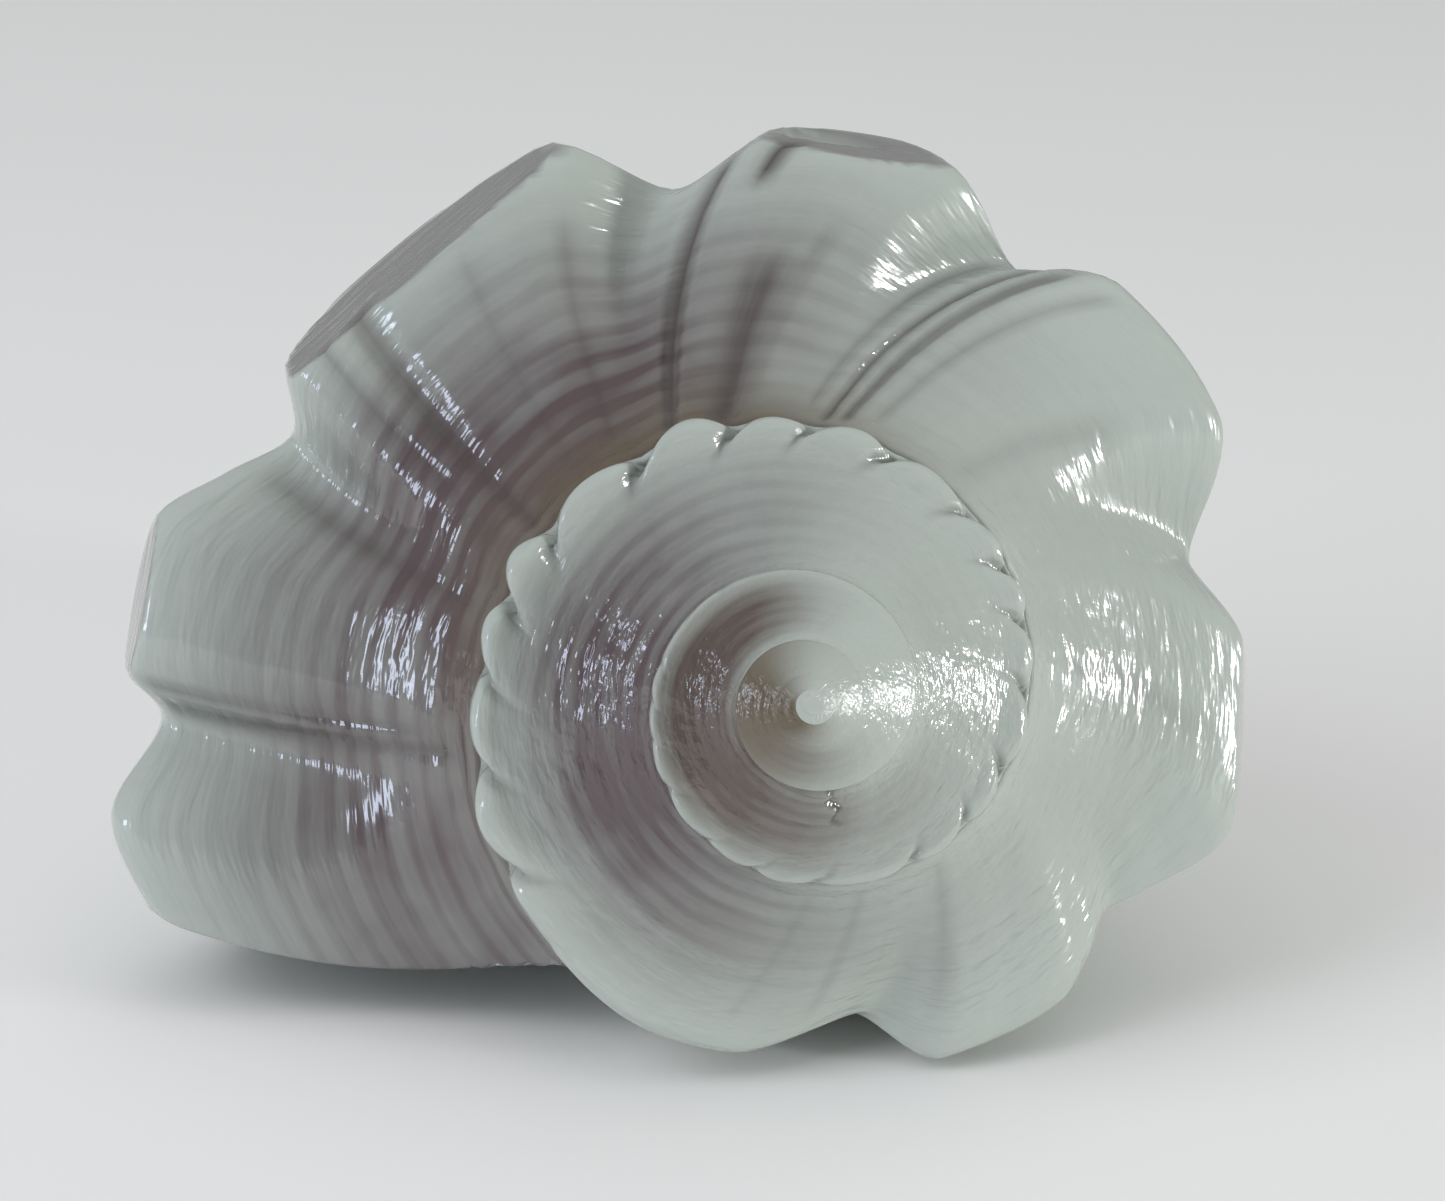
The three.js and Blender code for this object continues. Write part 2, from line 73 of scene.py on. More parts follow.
# Ramp outline of a full-grown whorl: row, distance from the axis, depth below the apex.
RAMP = (
    (0, 46.46, 34.9), (0.08, 48.6, 38.6), (0.2, 54, 44.2), (0.4, 66, 51.2), (0.6, 79, 56),
    (0.8, 91.5, 58.8), (0.92, 97.8, 60.4), (1, SHOULDER_RADIUS, SHOULDER_DEPTH), (1.08, 100.4, 66.6),
    (NEXT_SUTURE, REST_RADIUS, REST_DEPTH),
)
# The same outline on the inside of the wall.
INNER_RAMP = (
    (0.22, 51.6, 50.3), (0.4, 63, 57), (0.6, 76.8, 62.2), (0.8, 87.6, 65.4), (0.92, 91.2, 67.2),
    (1, 92.4, 69), (1.08, 92.8, 71), (NEXT_SUTURE, 92.4, REST_DEPTH),
)

# Side outline: share of the way to the tip against the share of the shoulder radius that is left.
SIDE = ((0, 1), (0.12, 0.91), (0.25, 0.75), (0.4, 0.53), (0.55, 0.32), (0.7, 0.17), (0.85, 0.07), (1, 0))

# Stem that the side outline ends on: while the whorl is inside, and at the lip.
COLUMELLA = ((0, 20), (0.4, 14), (0.6, 11), (0.75, 9), (0.88, 7), (0.96, 4.5), (1, 0))
CANAL_WALL = ((0, 24), (0.4, 22.5), (0.6, 21), (0.75, 19), (0.88, 15.5), (0.96, 10.5), (1, 0))

# Far end of the hollow inside the whorl: degrees in from the lip, share of the way to the tip.
CANAL_END = ((0, 0.965), (25, 0.93), (70, 0.8), (120, 0.66), (180, 0.52), (330, 0.42), (460, 0.4))

# Shoulder of the body whorl: growth line, reach compared with the plain spiral, rise of the knob.
SHOULDER = (
    (930, 1, 0), (945, 1.01, 0.4), (960, 1.02, 0.8), (978, 0.99, 0.5), (1000, 0.855, -0.7), (1012, 1.0, 0.7),
    (1030, 1.0, 0.5), (1036, 0.97, 0.1), (1044, 0.91, -0.5), (1050, 0.95, -0.1), (1062, 1.045, 0.8),
    (1083, 1.0, 0.8), (1097, 0.89, -0.7), (1113, 1.035, 0.9), (1131, 1.02, 0.8), (1141, 0.916, -0.8),
    (1153, 1.02, 0.9), (1159, 1.05, 0.9), (1170, 1.02, 0.8), (1183, 0.9, -0.9), (1196, 1.03, 0.8),
    (1211, 1.03, 0.5), (1226, 0.99, 0.6), (1234, 0.89, -0.7), (1240, 0.95, 0), (1246, 1.025, 0.7),
    (1252, 1.04, 0.9), (1258, 1.03, 0.8), (1264, 0.955, -0.5), (1272, 1.03, 0.7), (1280, 1.0, 0.5),
)
KNOB_RISE = 4.5

# How the knobs fade: over the ramp as a power of the row, down the side as a share of its length. The hollow
# inside follows the knobs only up to INNER_REACH.
KNOB_POWER = 1.6
KNOB_SHARE = 0.2
INNER_KNOB_SHARE = 0.3
INNER_REACH = 0.97

# How far each growth line runs ahead at the suture, growth line against degrees.
SUTURE_LEAD = ((1000, 24), (1097, 28), (1141, 32), (1165, 26), (1183, 21), (1207, 12), (1258, 10), (1280, 35))
LIP_BEND = 0.3
LIP_FLARE_START = 1225.0
LIP_SWEEP = 11.0
PARIETAL_SWEEP = 4.0

# Grooves between knobs: growth line, half width in degrees, depth in mm, row where the groove begins. It
# reaches its full depth GROOVE_START rows further out.
GROOVES = (
    (1000, 6, 2.5, 0.2), (1036, 5, 2, 0.3), (1097, 6, 2.5, 0.2), (1134.5, 2.6, 1.8, 0.05),
    (1141, 3.4, 2.2, 0.3), (1183, 4.5, 2.8, 0.25), (1175, 2.2, 1.7, 0.02), (1217, 2.2, 1.6, 0.2),
    (1234, 5, 2.4, 0.2), (1259, 2, 1.8, 0.15), (1264, 3, 2, 0.1),
)
GROOVE_START = 0.4

# Flats ground on the knobs: angle, distance from the axis, degrees by which the face leans towards the apex,
# and how strongly the flat is tinted mauve as painted shade. FLAT_EDGE rounds their rims. FLAT_SPAN keeps each
# one to the growth lines near it.
FLATS = ((1079, 65.4, 15, 0.1), (1163, 78.8, 21, 0.6), (1212, 82.0, 17, 0.65), (1251, 95.6, 12, 0.6))
FLAT_EDGE = 0.35
FLAT_SPAN = 26.0
FIRST_GROUND_LINE = 1030.0

# Nodules along the rims of the inner whorls. The rim is a low ridge round RIM_ROW, RIM_WIDTH rows wide.
NODULE_SPACING = 18.5
NODULE_REACH = 7.0
NODULE_RISE = 4.0
NODULE_MEAN = 0.5
NODULE_ROW = 0.99
RIM_RISE = 2.6
RIM_ROW = 0.93
RIM_WIDTH = 0.13
RIM_START = 380.0
RIM_END = 925.0

# Angles of the side where the sutures are deep, where the ramp is hollow and where the nodules are largest.
DEEP_SIDE = 195.0
HOLLOW_SIDE = 190.0
LARGE_NODULES = 850.0

# The ramp runs into the whorl before it over its first rows.
START_ROWS = 0.6
START_POWER = 1.7

# Slope of the straight cone that the shell keeps near its apex.
CONE_SLOPE = SHOULDER_DEPTH / SHOULDER_RADIUS

# Wall at the lip and its callus on the inner side, in mm. The lip bulges by a share of the wall.
WALL = 6.2
CALLUS = 1.6
LIP_BULGE = 0.45
TIP_ROUNDING = 1.6

# The cavity starts a few degrees in from the lip, with its rings closer together there than further in. Its
# outline starts at a row of the ramp, and at a share of the way down the whorl that it leans on.
CAVITY_START = 3.0
CAVITY_SPREAD = 1.15
INNER_FIRST_ROW = 0.22
INNER_FIRST_SHARE = 0.08


def smooth_step(low, high, x):
    """0 up to a low value, 1 from a high one, and smooth in between."""
    t = np.clip((x - low) / (high - low), 0.0, 1.0)
    return t * t * (3.0 - 2.0 * t)


def follow(points, x, column=1):
    """Smooth curve through the points of a list, read from its first column."""
    table = np.array(points, dtype=float)
    places, values = table[:, 0], table[:, column]
    slopes = np.diff(values) / np.diff(places)
    before, after = slopes[:-1], slopes[1:]
    product = before * after
    total = np.where(product > 0, before + after, 1.0)
    middle = np.where(product > 0, 2.0 * product / total, 0.0)
    tangents = np.concatenate(([slopes[0]], middle, [slopes[-1]]))
    x = np.clip(np.asarray(x, dtype=float), places[0], places[-1])
    i = np.clip(np.searchsorted(places, x, side="right") - 1, 0, len(places) - 2)
    width = places[i + 1] - places[i]
    t = (x - places[i]) / width
    rise = values[i + 1] - values[i]
    m0 = tangents[i] * width
    m1 = tangents[i + 1] * width
    return values[i] + t * (m0 + t * (3 * rise - 2 * m0 - m1 + t * (m0 + m1 - 2 * rise)))


def toward(angle, side):
    """1 where an angle is on a side of the shell, falling to 0 on the opposite side."""
    return 0.5 + 0.5 * np.cos(np.radians(angle - side))


def down_side(row):
    """How far a row is down the side: 0 where the next whorl sits, 1 at the tip of the canal."""
    return np.clip((row - NEXT_SUTURE) / (LAST_ROW - NEXT_SUTURE), 0.0, 1.0)


class Growth:
    """The law the shell grows by: where each growth line and row lies, in millimetres about its axis."""

    def __init__(self, settings):
        self.rate = settings.whorl_growth
        self.length = settings.length / MM

    def scale(self, angle):
        """Size of the whorl at an angle, compared with the whorl at the lip."""
        return self.rate ** ((angle - LIP_ANGLE) / 360.0)

    def lead(self, line):
        """Degrees by which a growth line runs ahead at the suture."""
        return follow(SUTURE_LEAD, line)

    def angle_at(self, line, row):
        """Angle at which a growth line crosses a row."""
        bend = 1.0 + LIP_BEND * smooth_step(LIP_FLARE_START, LIP_ANGLE, line)
        ahead = self.lead(line) * np.maximum(0.0, 1.0 - row) ** bend
        grown = smooth_step(CLOSING_ANGLE, LIP_ANGLE, line)
        sweep = PARIETAL_SWEEP + (LIP_SWEEP - PARIETAL_SWEEP) * grown
        side = sweep * np.sin(np.radians(90.0 * down_side(row) ** 0.75))
        return line + np.where(row < 1.0, ahead, side)

    def nodule_fold(self, angle):
        """1 on the middle of a nodule and 0 in the fold between two."""
        slow = 6 * np.sin(np.radians(angle * 0.83)) + 4 * np.sin(np.radians(angle * 1.9 + 40))
        wander = slow + 2.5 * np.sin(np.radians(angle * 5.3))
        return np.abs(np.cos(np.radians((angle + wander) * 180 / NODULE_SPACING)))

    def nodule_size(self, angle):
        """Nodules grow from the third turn, are largest on one side and end where the body begins."""
        size = 0.68 + 0.2 * np.sin(np.radians(angle * 2.63 + 20)) + 0.3 * np.sin(np.radians(angle * 8.3))
        far_side = 0.55 + 0.45 * toward(angle, LARGE_NODULES)
        grown = smooth_step(430, 780, angle) * (1 - smooth_step(RIM_END, RIM_END + 25, angle))
        return size * far_side * grown

    def suture_depth(self, angle):
        """How deep the suture lies below the rim it leans on: deep on one side of the shell, nearly flush
        opposite, and deep all along the body."""
        around = 0.03 + 0.97 * toward(angle, DEEP_SIDE) ** 0.9
        early = around * smooth_step(80, 330, angle)
        return 1 - (1 - early) * (1 - smooth_step(900, CLOSING_ANGLE, angle))

    def cone(self, line):
        """Where a whorl runs straight on from the one before: near the apex and on one side."""
        one_side = (1 - toward(line, HOLLOW_SIDE)) ** 1.5 * (1 - 0.45 * smooth_step(740, 1000, line))
        return 1 - smooth_step(120, 420, line) * (1 - 0.85 * one_side)

    def rim_offset(self, angle, row):
        """How far the nodules push a row of the rim outwards and down."""
        near = np.exp(-(((row - NODULE_ROW) / RIM_WIDTH) ** 2))
        near = np.where(row > 1, np.maximum(near, 0.25), near)
        amount = self.nodule_size(angle) * (self.nodule_fold(angle) ** 0.8 - NODULE_MEAN) * near
        return NODULE_REACH * amount, -NODULE_RISE * amount * np.where(row > 1.1, 0.0, 1.0)

    def attachment(self, angle):
        """Line below the rim of a whorl where the next whorl sits: distance from the axis and depth."""
        k = self.scale(angle)
        drop = self.suture_depth(angle)
        out, _ = self.rim_offset(angle, np.full_like(angle, NEXT_SUTURE))
        radius = FLUSH_RADIUS + (REST_RADIUS - FLUSH_RADIUS) * drop + out
        return radius * k, (FLUSH_DEPTH + (REST_DEPTH - FLUSH_DEPTH) * drop) * k

    def groove_depth(self, line, row):
        """Depth of the grooves between the knobs."""
        depth = np.zeros_like(line)
        for centre, width, deep, start in GROOVES:
            across = np.exp(-(((line - centre) / width) ** 2))
            along = smooth_step(start, start + GROOVE_START, row) * (1 - smooth_step(1.0, 1.25, row))
            depth = np.maximum(depth, deep * across * along)
        return depth

    def sink(self, line, row):
        """How far the grooves sink the ramp, less the height by which the knobs lift it."""
        lobe = smooth_step(0.3, 0.85, row) * (1 - smooth_step(0.95, 1.3, row))
        return self.groove_depth(line, row) - KNOB_RISE * follow(SHOULDER, line, 2) * lobe

    def ramp(self, line, row):
        """Distance from the axis and depth of a point of the ramp, on the outside of the wall."""
        k = self.scale(self.angle_at(line, row))
        start_radius, start_depth = self.attachment(self.angle_at(line, row) - 360)
        start = (1 - np.minimum(1, row / START_ROWS)) ** START_POWER
        nodule_out, nodule_down = self.rim_offset(line, row)
        foot_out, _ = self.rim_offset(line, np.full_like(line, NEXT_SUTURE))
        foot = smooth_step(1, NEXT_SUTURE, row)
        out = 1 + (follow(SHOULDER, line, 1) - 1) * np.minimum(1, row) ** KNOB_POWER
        straight = self.cone(line) * (1 - foot)

        # Up to the shoulder the ramp lies between a hollow outline and a straight one, past it between the foot
        # of a deep suture and the foot of a flush one.
        radius, depth = follow(RAMP, row, 1), follow(RAMP, row, 2)
        past = np.maximum(0, row - 1) / (NEXT_SUTURE - 1)
        flush = 1 - self.suture_depth(line)
        flush_radius = SHOULDER_RADIUS + (FLUSH_RADIUS - SHOULDER_RADIUS) * past
        flush_depth = SHOULDER_DEPTH + (FLUSH_DEPTH - SHOULDER_DEPTH) * past
        sunk = depth * (1 - straight) + radius * CONE_SLOPE * straight
        depth = np.where(row > 1, depth + (flush_depth - depth) * flush, sunk)
        radius = np.where(row > 1, radius + (flush_radius - radius) * flush, radius)
        start_sunk = RAMP[0][2] * (1 - straight) + RAMP[0][1] * CONE_SLOPE * straight

        rim = smooth_step(RIM_START, RIM_START + 100, line) * (1 - smooth_step(RIM_END, RIM_END + 75, line))
        crest = RIM_RISE * rim * np.exp(-(((row - RIM_ROW) / RIM_WIDTH) ** 2))
        pushed_out = nodule_out * (1 - foot) + foot_out * foot
        raised = (crest - nodule_down) * (1 - foot)
        radius = k * (radius * out + pushed_out) + start * (start_radius - RAMP[0][1] * k)
        return radius, k * (depth - raised + self.sink(line, row)) + start * (start_depth - start_sunk * k)

    def side(self, line, row, radius, depth, reach, knob_share):
        """Distance from the axis and depth on the side of a whorl. The knobs fade out over a share of it."""
        share = down_side(row)
        grown = smooth_step(CLOSING_ANGLE, LIP_ANGLE, line)
        stem = follow(COLUMELLA, share) * (1 - grown) + follow(CANAL_WALL, share) * grown
        stem_top = COLUMELLA[0][1] * (1 - grown) + CANAL_WALL[0][1] * grown
        knob = 1 + (reach - 1) * np.exp(-((share / knob_share) ** 2))
        out = stem + (radius * knob - stem_top) * follow(SIDE, share)
        return out, depth + (self.length - depth) * share

    def outline(self, line, row):
        """Distance from the axis and depth of any point on the outside of the wall."""
        on_ramp = row <= NEXT_SUTURE
        ramp_radius, ramp_depth = self.ramp(line, np.minimum(row, NEXT_SUTURE))
        reach = follow(SHOULDER, line, 1)
        side_radius, side_depth = self.side(line, row, *self.attachment(line), reach, KNOB_SHARE)
        return np.where(on_ramp, ramp_radius, side_radius), np.where(on_ramp, ramp_depth, side_depth)

    def plain_ramp(self, line, row):
        """The ramp without its nodules and flats and with shallower knobs, on the inside of the wall."""
        k = self.scale(self.angle_at(line, row))
        reach = np.minimum(INNER_REACH, follow(SHOULDER, line, 1))
        out = 1 + (reach - 1) * np.minimum(1, row) ** KNOB_POWER
        lowered = follow(INNER_RAMP, row, 2) + 0.75 * np.maximum(0, self.sink(line, row))
        depth = np.minimum(lowered, REST_DEPTH - 6 * (NEXT_SUTURE - row))
        return follow(INNER_RAMP, row, 1) * k * out, depth * k

    def plain_side(self, line, row):
        """The side of the whorl with shallower knobs."""
        k = self.scale(line)
        reach = np.minimum(INNER_REACH, follow(SHOULDER, line, 1))
        return self.side(line, row, REST_RADIUS * k, REST_DEPTH * k, reach, INNER_KNOB_SHARE)

    def turn(self, radius, depth, angle):
        """Points at a distance from the axis, a depth and an angle. The very tip of the apex is rounded."""
        rounded = np.sqrt(depth * depth + TIP_ROUNDING * TIP_ROUNDING)
        turned = np.radians(angle)
        return np.stack([radius * np.cos(turned), rounded, radius * np.sin(turned)], axis=-1)

    def inset(self, line, row, distance):
        """Points on the side of the plain whorl, moved inwards by a distance: outwards if it is negative."""
        step = 0.04
        before = self.plain_side(line, np.maximum(NEXT_SUTURE + 0.001, row - step))
        after = self.plain_side(line, np.minimum(LAST_ROW - 0.01, row + step))
        here = self.plain_side(line, row)
        out, down = after[0] - before[0], after[1] - before[1]
        length = np.hypot(out, down)
        angle = self.angle_at(line, row)
        return self.turn(here[0] - distance * down / length, here[1] + distance * out / length, angle)

    def over_flat(self, points, angle, distance, lean):
        """How far points rise over the plane of a flat, and the direction the flat faces."""
        around, tilt = math.radians(angle), math.radians(lean)
        cos, sin = math.cos(around), math.sin(around)
        normal = np.array([cos * math.cos(tilt), -math.sin(tilt), sin * math.cos(tilt)])
        centre = np.array([distance * cos, SHOULDER_DEPTH * self.scale(angle), distance * sin])
        return (points - centre) @ normal, normal

    def near_flat(self, line, row, angle):
        """1 on the growth lines and rows that a flat is ground from."""
        return (np.abs(line - angle) < FLAT_SPAN) & (line > FIRST_GROUND_LINE) & (row > 0.5) & (row < 2)

    def grind(self, points, line, row):
        """Grinds the knobs down to their flats."""
        for angle, distance, lean, _ in FLATS:
            over, normal = self.over_flat(points, angle, distance, lean)
            cut = FLAT_EDGE * np.log1p(np.exp(np.minimum(40, over / FLAT_EDGE)))
            points = points - (cut * self.near_flat(line, row, angle))[..., None] * normal
        return points

    def ground(self, line, row):
        """How strongly the mauve is painted on a flat ground on a knob: painted shade on flats that face away
        from the light.
        """
        points = self.turn(*self.outline(line, row), self.angle_at(line, row))
        painted_shade_and_mauve = np.zeros_like(line)
        for angle, distance, lean, tint in FLATS:
            over, _ = self.over_flat(points, angle, distance, lean)
            painted_shade_and_mauve = np.maximum(painted_shade_and_mauve, tint * self.near_flat(line, row, angle) * smooth_step(0.0, 1.0, over))
        return painted_shade_and_mauve

    def outside(self, line, row):
        """Points on the outside of the wall."""
        line, row = np.broadcast_arrays(np.asarray(line, float), np.asarray(row, float))
        points = self.turn(*self.outline(line, row), self.angle_at(line, row))
        return self.grind(points, line, row)


def growth_lines(growth, first, per_band):
    """Growth lines spaced so that the foot of each one meets the suture of the line one turn later."""
    step = (360 - float(growth.lead(0.0))) / per_band
    closing = int(round((CLOSING_ANGLE - first) / step))
    lines = [CLOSING_ANGLE + (i - closing) * step for i in range(closing + 1)]
    fine = np.linspace(CLOSING_ANGLE, LIP_ANGLE + 30, 6000)
    sutures = fine + growth.lead(fine)
    for i in range(1, per_band + 1):
        lines.append(float(np.interp(lines[closing + i - per_band] + 360, sutures, fine)))
    return np.array(lines), closing


class ShellMesh:
    """Collects the shell's points and faces as one closed skin."""

    def __init__(self):
        self.points = []
        self.labels = []
        self.faces = []
        self.marks = []
        self.count = 0

    def add(self, points, labels):
        """Points with their growth line, row and side of the wall. Gives back their numbers."""
        points = points.reshape(-1, 3)
        self.points.append(points)
        self.labels.append(np.broadcast_to(labels, (len(points), 3)))
        self.count += len(points)
        return np.arange(self.count - len(points), self.count)

    def add_faces(self, corners, marks):
        """Faces by their points, and the growth line, row and side of the wall at each of their corners."""
        self.faces.append(corners)
        self.marks.append(np.broadcast_to(marks, corners.shape + (3,)))

    def coordinates(self):
        """All points so far."""
        return np.concatenate(self.points)


def spread(marks, rows_between):
    """More rows between the marks, closer together where the marks are close."""
    places = np.arange(len(marks))
    wanted = np.linspace(0, len(marks) - 1, (len(marks) - 1) * rows_between + 1)
    return follow(list(zip(places, marks)), wanted)


def strip_corners(grid):
    """The four corners of every face of a grid, in the order that faces it outwards."""
    corners = np.stack([grid[:-1, :-1], grid[:-1, 1:], grid[1:, 1:], grid[1:, :-1]], axis=2)
    return corners.reshape((-1, 4) + grid.shape[2:])


def ring_corners(before, after):
    """The four corners of every face between two closed loops."""
    return np.stack([before, np.roll(before, -1, axis=0), np.roll(after, -1, axis=0), after], axis=1)


def whorl_skin(mesh, growth, lines, closing, per_band, ramp_rows, side_rows):
    """Spire and body whorl: one long ribbon whose foot is welded to the suture of the next turn."""
    foot = len(ramp_rows) - 1
    last = len(lines) - 1
    ids = np.full((last + 1, len(ramp_rows)), -1)
    line, row = np.meshgrid(lines, ramp_rows, indexing="ij")
    placed = growth.outside(line, row)
    fresh = np.ones(line.shape, bool)
    fresh[per_band:, 0] = False
    labels = np.stack([line, row, np.zeros_like(line)], axis=-1)
    ids[fresh] = mesh.add(placed[fresh], labels[fresh])
    for i in range(per_band, last + 1):
        ids[i, 0] = ids[i - per_band, foot]
    mesh.add_faces(strip_corners(ids), strip_corners(labels))

    body_rows = np.concatenate([ramp_rows[-1:], side_rows])
    line, row = np.meshgrid(lines[closing:], body_rows, indexing="ij")
    labels = np.stack([line, row, np.zeros_like(line)], axis=-1)
    side_ids = mesh.add(growth.outside(line, row)[:, 1:], labels[:, 1:].reshape(-1, 3)).reshape(len(line), -1)
    body_ids = np.concatenate([ids[closing:, -1:], side_ids], axis=1)
    mesh.add_faces(strip_corners(body_ids), strip_corners(labels))

    tip_mark = (LIP_ANGLE, LAST_ROW, 0)
    tip = int(mesh.add(growth.turn(0.0, growth.length, 0.0), tip_mark)[0])
    ends = body_ids[:, -1]
    mesh.add_faces(np.stack([ends[:-1], np.full(len(ends) - 1, tip), ends[1:]], axis=1), tip_mark)
    apex_mark = (lines[0], 0, 0)
    apex = int(mesh.add(growth.turn(0.0, 0.0, 0.0), apex_mark)[0])
    crown = np.concatenate([ids[: per_band + 1, 0], ids[0, foot - 1:0:-1]])
    mesh.add_faces(np.stack([crown, np.roll(crown, -1), np.full(len(crown), apex)], axis=1), apex_mark)
    return ids, side_ids, tip


def cavity_ring(growth, back, lip_rows, side_shares):
    """One loop round the inside of the whorl, a number of degrees in from the lip."""
    first, last = side_shares[0], side_shares[-1]
    line = LIP_ANGLE - back
    wall_line = line + float(growth.lead(line)) - 360
    k = float(growth.scale(line))
    end = float(follow(CANAL_END, back))
    settled = float(smooth_step(-12, 32, back))
    ramp = lip_rows[lip_rows <= NEXT_SUTURE]
    inner = np.where(ramp < 1, INNER_FIRST_ROW + (1 - INNER_FIRST_ROW) * ramp, ramp)
    lines = np.full_like(inner, line)
    full = growth.turn(*growth.plain_ramp(lines, inner), growth.angle_at(lines, inner))
    corner = ((1 - settled) * (1 - smooth_step(0, 0.75, ramp)))[:, None]
    top = growth.outside(line, ramp) * corner + full * (1 - corner)
    side = lip_rows[lip_rows > NEXT_SUTURE]
    inner = NEXT_SUTURE + (side - NEXT_SUTURE) * end / last
    side_points = growth.inset(np.full_like(inner, line), inner, WALL * k * (1 - 0.5 * down_side(inner)))
    lip_top = REST_DEPTH * k
    wall_top = REST_DEPTH * float(growth.scale(wall_line))
    end_depth = lip_top + (growth.length - lip_top) * end
    wall_end = (end_depth - wall_top) / (growth.length - wall_top)
    passed = (side_shares[::-1] - first) / (last - first)
    along = INNER_FIRST_SHARE + (wall_end - INNER_FIRST_SHARE) * passed
    callus = CALLUS * k * float(smooth_step(-2, 28, back))
    rows = NEXT_SUTURE + along * (LAST_ROW - NEXT_SUTURE)
    wall_points = growth.inset(np.full_like(rows, wall_line), rows, -callus)
    bottom = 0.5 * (side_points[-1] + wall_points[0])
    return np.concatenate([top, side_points, bottom[None], wall_points])


def cavity_skin(mesh, growth, ids, side_ids, tip, ramp_rows, side_shares, settings):
    """Rounded lip, the inner side of the last whorl and the cavity that winds in behind it."""
    side_rows = NEXT_SUTURE + side_shares * (LAST_ROW - NEXT_SUTURE)
    lip_rows = np.concatenate([ramp_rows, side_rows])
    ring = np.concatenate([ids[-1], side_ids[-1], [tip], side_ids[0][::-1]])
    outer = mesh.coordinates()[ring]
    inside = cavity_ring(growth, CAVITY_START, lip_rows, side_shares)
    ahead = np.zeros_like(outer)
    count = len(lip_rows)
    heading = growth.outside(LIP_ANGLE, lip_rows) - growth.outside(LIP_ANGLE - 1.5, lip_rows)
    ahead[:count] = heading / np.linalg.norm(heading, axis=1)[:, None]
    fade = np.zeros(len(ring))
    fade[:count] = smooth_step(0.1, 0.6, lip_rows) * (1 - smooth_step(2.2, 3, lip_rows))
    rings = []
    for turned in np.linspace(0, 180, settings.lip_steps + 2)[1:-1]:
        share = 0.5 - 0.5 * math.cos(math.radians(turned))
        bulge = math.sin(math.radians(turned)) * WALL * LIP_BULGE
        rings.append((outer * (1 - share) + inside * share + ahead * (bulge * fade)[:, None], 0.0))
    depth = math.degrees(settings.cavity_depth)
    for i in range(settings.cavity_steps + 1):
        back = CAVITY_START + (depth - CAVITY_START) * (i / settings.cavity_steps) ** CAVITY_SPREAD
        rings.append((cavity_ring(growth, back, lip_rows, side_shares), back))
    row_label = np.concatenate([lip_rows, [LAST_ROW], side_rows[::-1]])
    marks = np.stack([np.full(len(ring), LIP_ANGLE), row_label, np.zeros(len(ring))], axis=1)
    for number, (placed, back) in enumerate(rings):
        inner = min(1.0, (number + 1) / (settings.lip_steps + 1))
        turned_back = np.full(len(placed), LIP_ANGLE - back)
        labels = np.stack([turned_back, row_label, np.full(len(placed), inner)], axis=1)
        following = mesh.add(placed, labels)
        mesh.add_faces(ring_corners(ring, following), ring_corners(marks, labels))
        ring, marks = following, labels
    centre = rings[-1][0].mean(axis=0)
    end = int(mesh.add(centre[None], (LIP_ANGLE - depth, 1, 1))[0])
    fan = np.stack([ring, np.roll(ring, -1), np.full(len(ring), end)], axis=1)
    mesh.add_faces(fan, (LIP_ANGLE - depth, 1, 1))


# Spiral cords: growth line against the distance between two cords and against their height, in mm.
CORD_SPACING = ((300, 1.4), (540, 1.9), (860, 2.9), (1280, 4.2))
CORD_HEIGHT = ((300, 0.05), (540, 0.11), (860, 0.2), (1280, 0.38))

# Heights of the fine shape in mm. Folds, knuckles and creases grow with the whorl.
FOLD_HEIGHT = 0.16
KNUCKLE_HEIGHT = 3.2
CREASE_DEPTH = 3.8
CREASE_WIDTH = 0.22
BREAK_HEIGHT = 1.0
BREAK_LINE = 617.0
PIT_DEPTH = 2.6
PIT_PLACE = (1166.5, 1.05)
PIT_SIZE = (4.6, 0.055)

# Fine grooves along growth lines: line, half width in degrees, depth in mm, first and last row.
SCORES = (
    (1175, 1.3, 0.9, 0.02, 0.97), (1161, 4.5, 0.8, 0.02, 0.6), (1155, 1.0, 0.35, 0.1, 0.7),
    (1136, 0.9, 0.75, 0.03, 0.97), (1132.6, 0.9, 0.75, 0.05, 0.93), (1140.5, 0.9, 0.35, 0.1, 0.95),
    (1127.5, 1.0, 0.3, 0.1, 0.95), (1109, 2.2, 0.15, 0.1, 0.7), (1168, 1.3, 0.9, 0.72, 1.0),
    (1218, 1.5, 0.6, 0.05, 0.95), (1223, 1.0, 0.4, 0.3, 0.95), (1262, 1.0, 0.6, 0.1, 0.98),
    (1260, 1.0, 0.5, 0.2, 0.98), (1192, 1.4, 0.3, 0.1, 0.8), (1205, 1.2, 0.2, 0.1, 0.8),
    (1237, 1.4, 0.4, 0.1, 0.9), (1067, 2.0, 0.15, 0.2, 0.8), (1008, 1.6, 0.15, 0.1, 0.8),
    (986, 1.6, 0.15, 0.1, 0.8), (972, 1.3, 0.1, 0.1, 0.8),
)


def ramp_distance(line, row, growth):
    """Distance over the ramp from the suture, in millimetres."""
    rows, radii, depths = np.array(RAMP).T
    lengths = np.concatenate([[0.0], np.cumsum(np.hypot(np.diff(radii), np.diff(depths)))])
    return np.interp(row, rows, lengths) * growth.scale(line)


def cord_phase(line, row, growth):
    """Number of cords between the suture and a point of the ramp."""
    return ramp_distance(line, row, growth) / follow(CORD_SPACING, line)


def ramp_window(row, low, rise, high, fall):
    """1 between two rows, with a soft start and end."""
    return smooth_step(low, low + rise, row) * (1 - smooth_step(high - fall, high, row))


def hollow(row):
    """How much of the spiral cords is left: all in the hollow of the ramp, less out on the knobs."""
    return ramp_window(row, 0.02, 0.12, 0.86, 0.4)


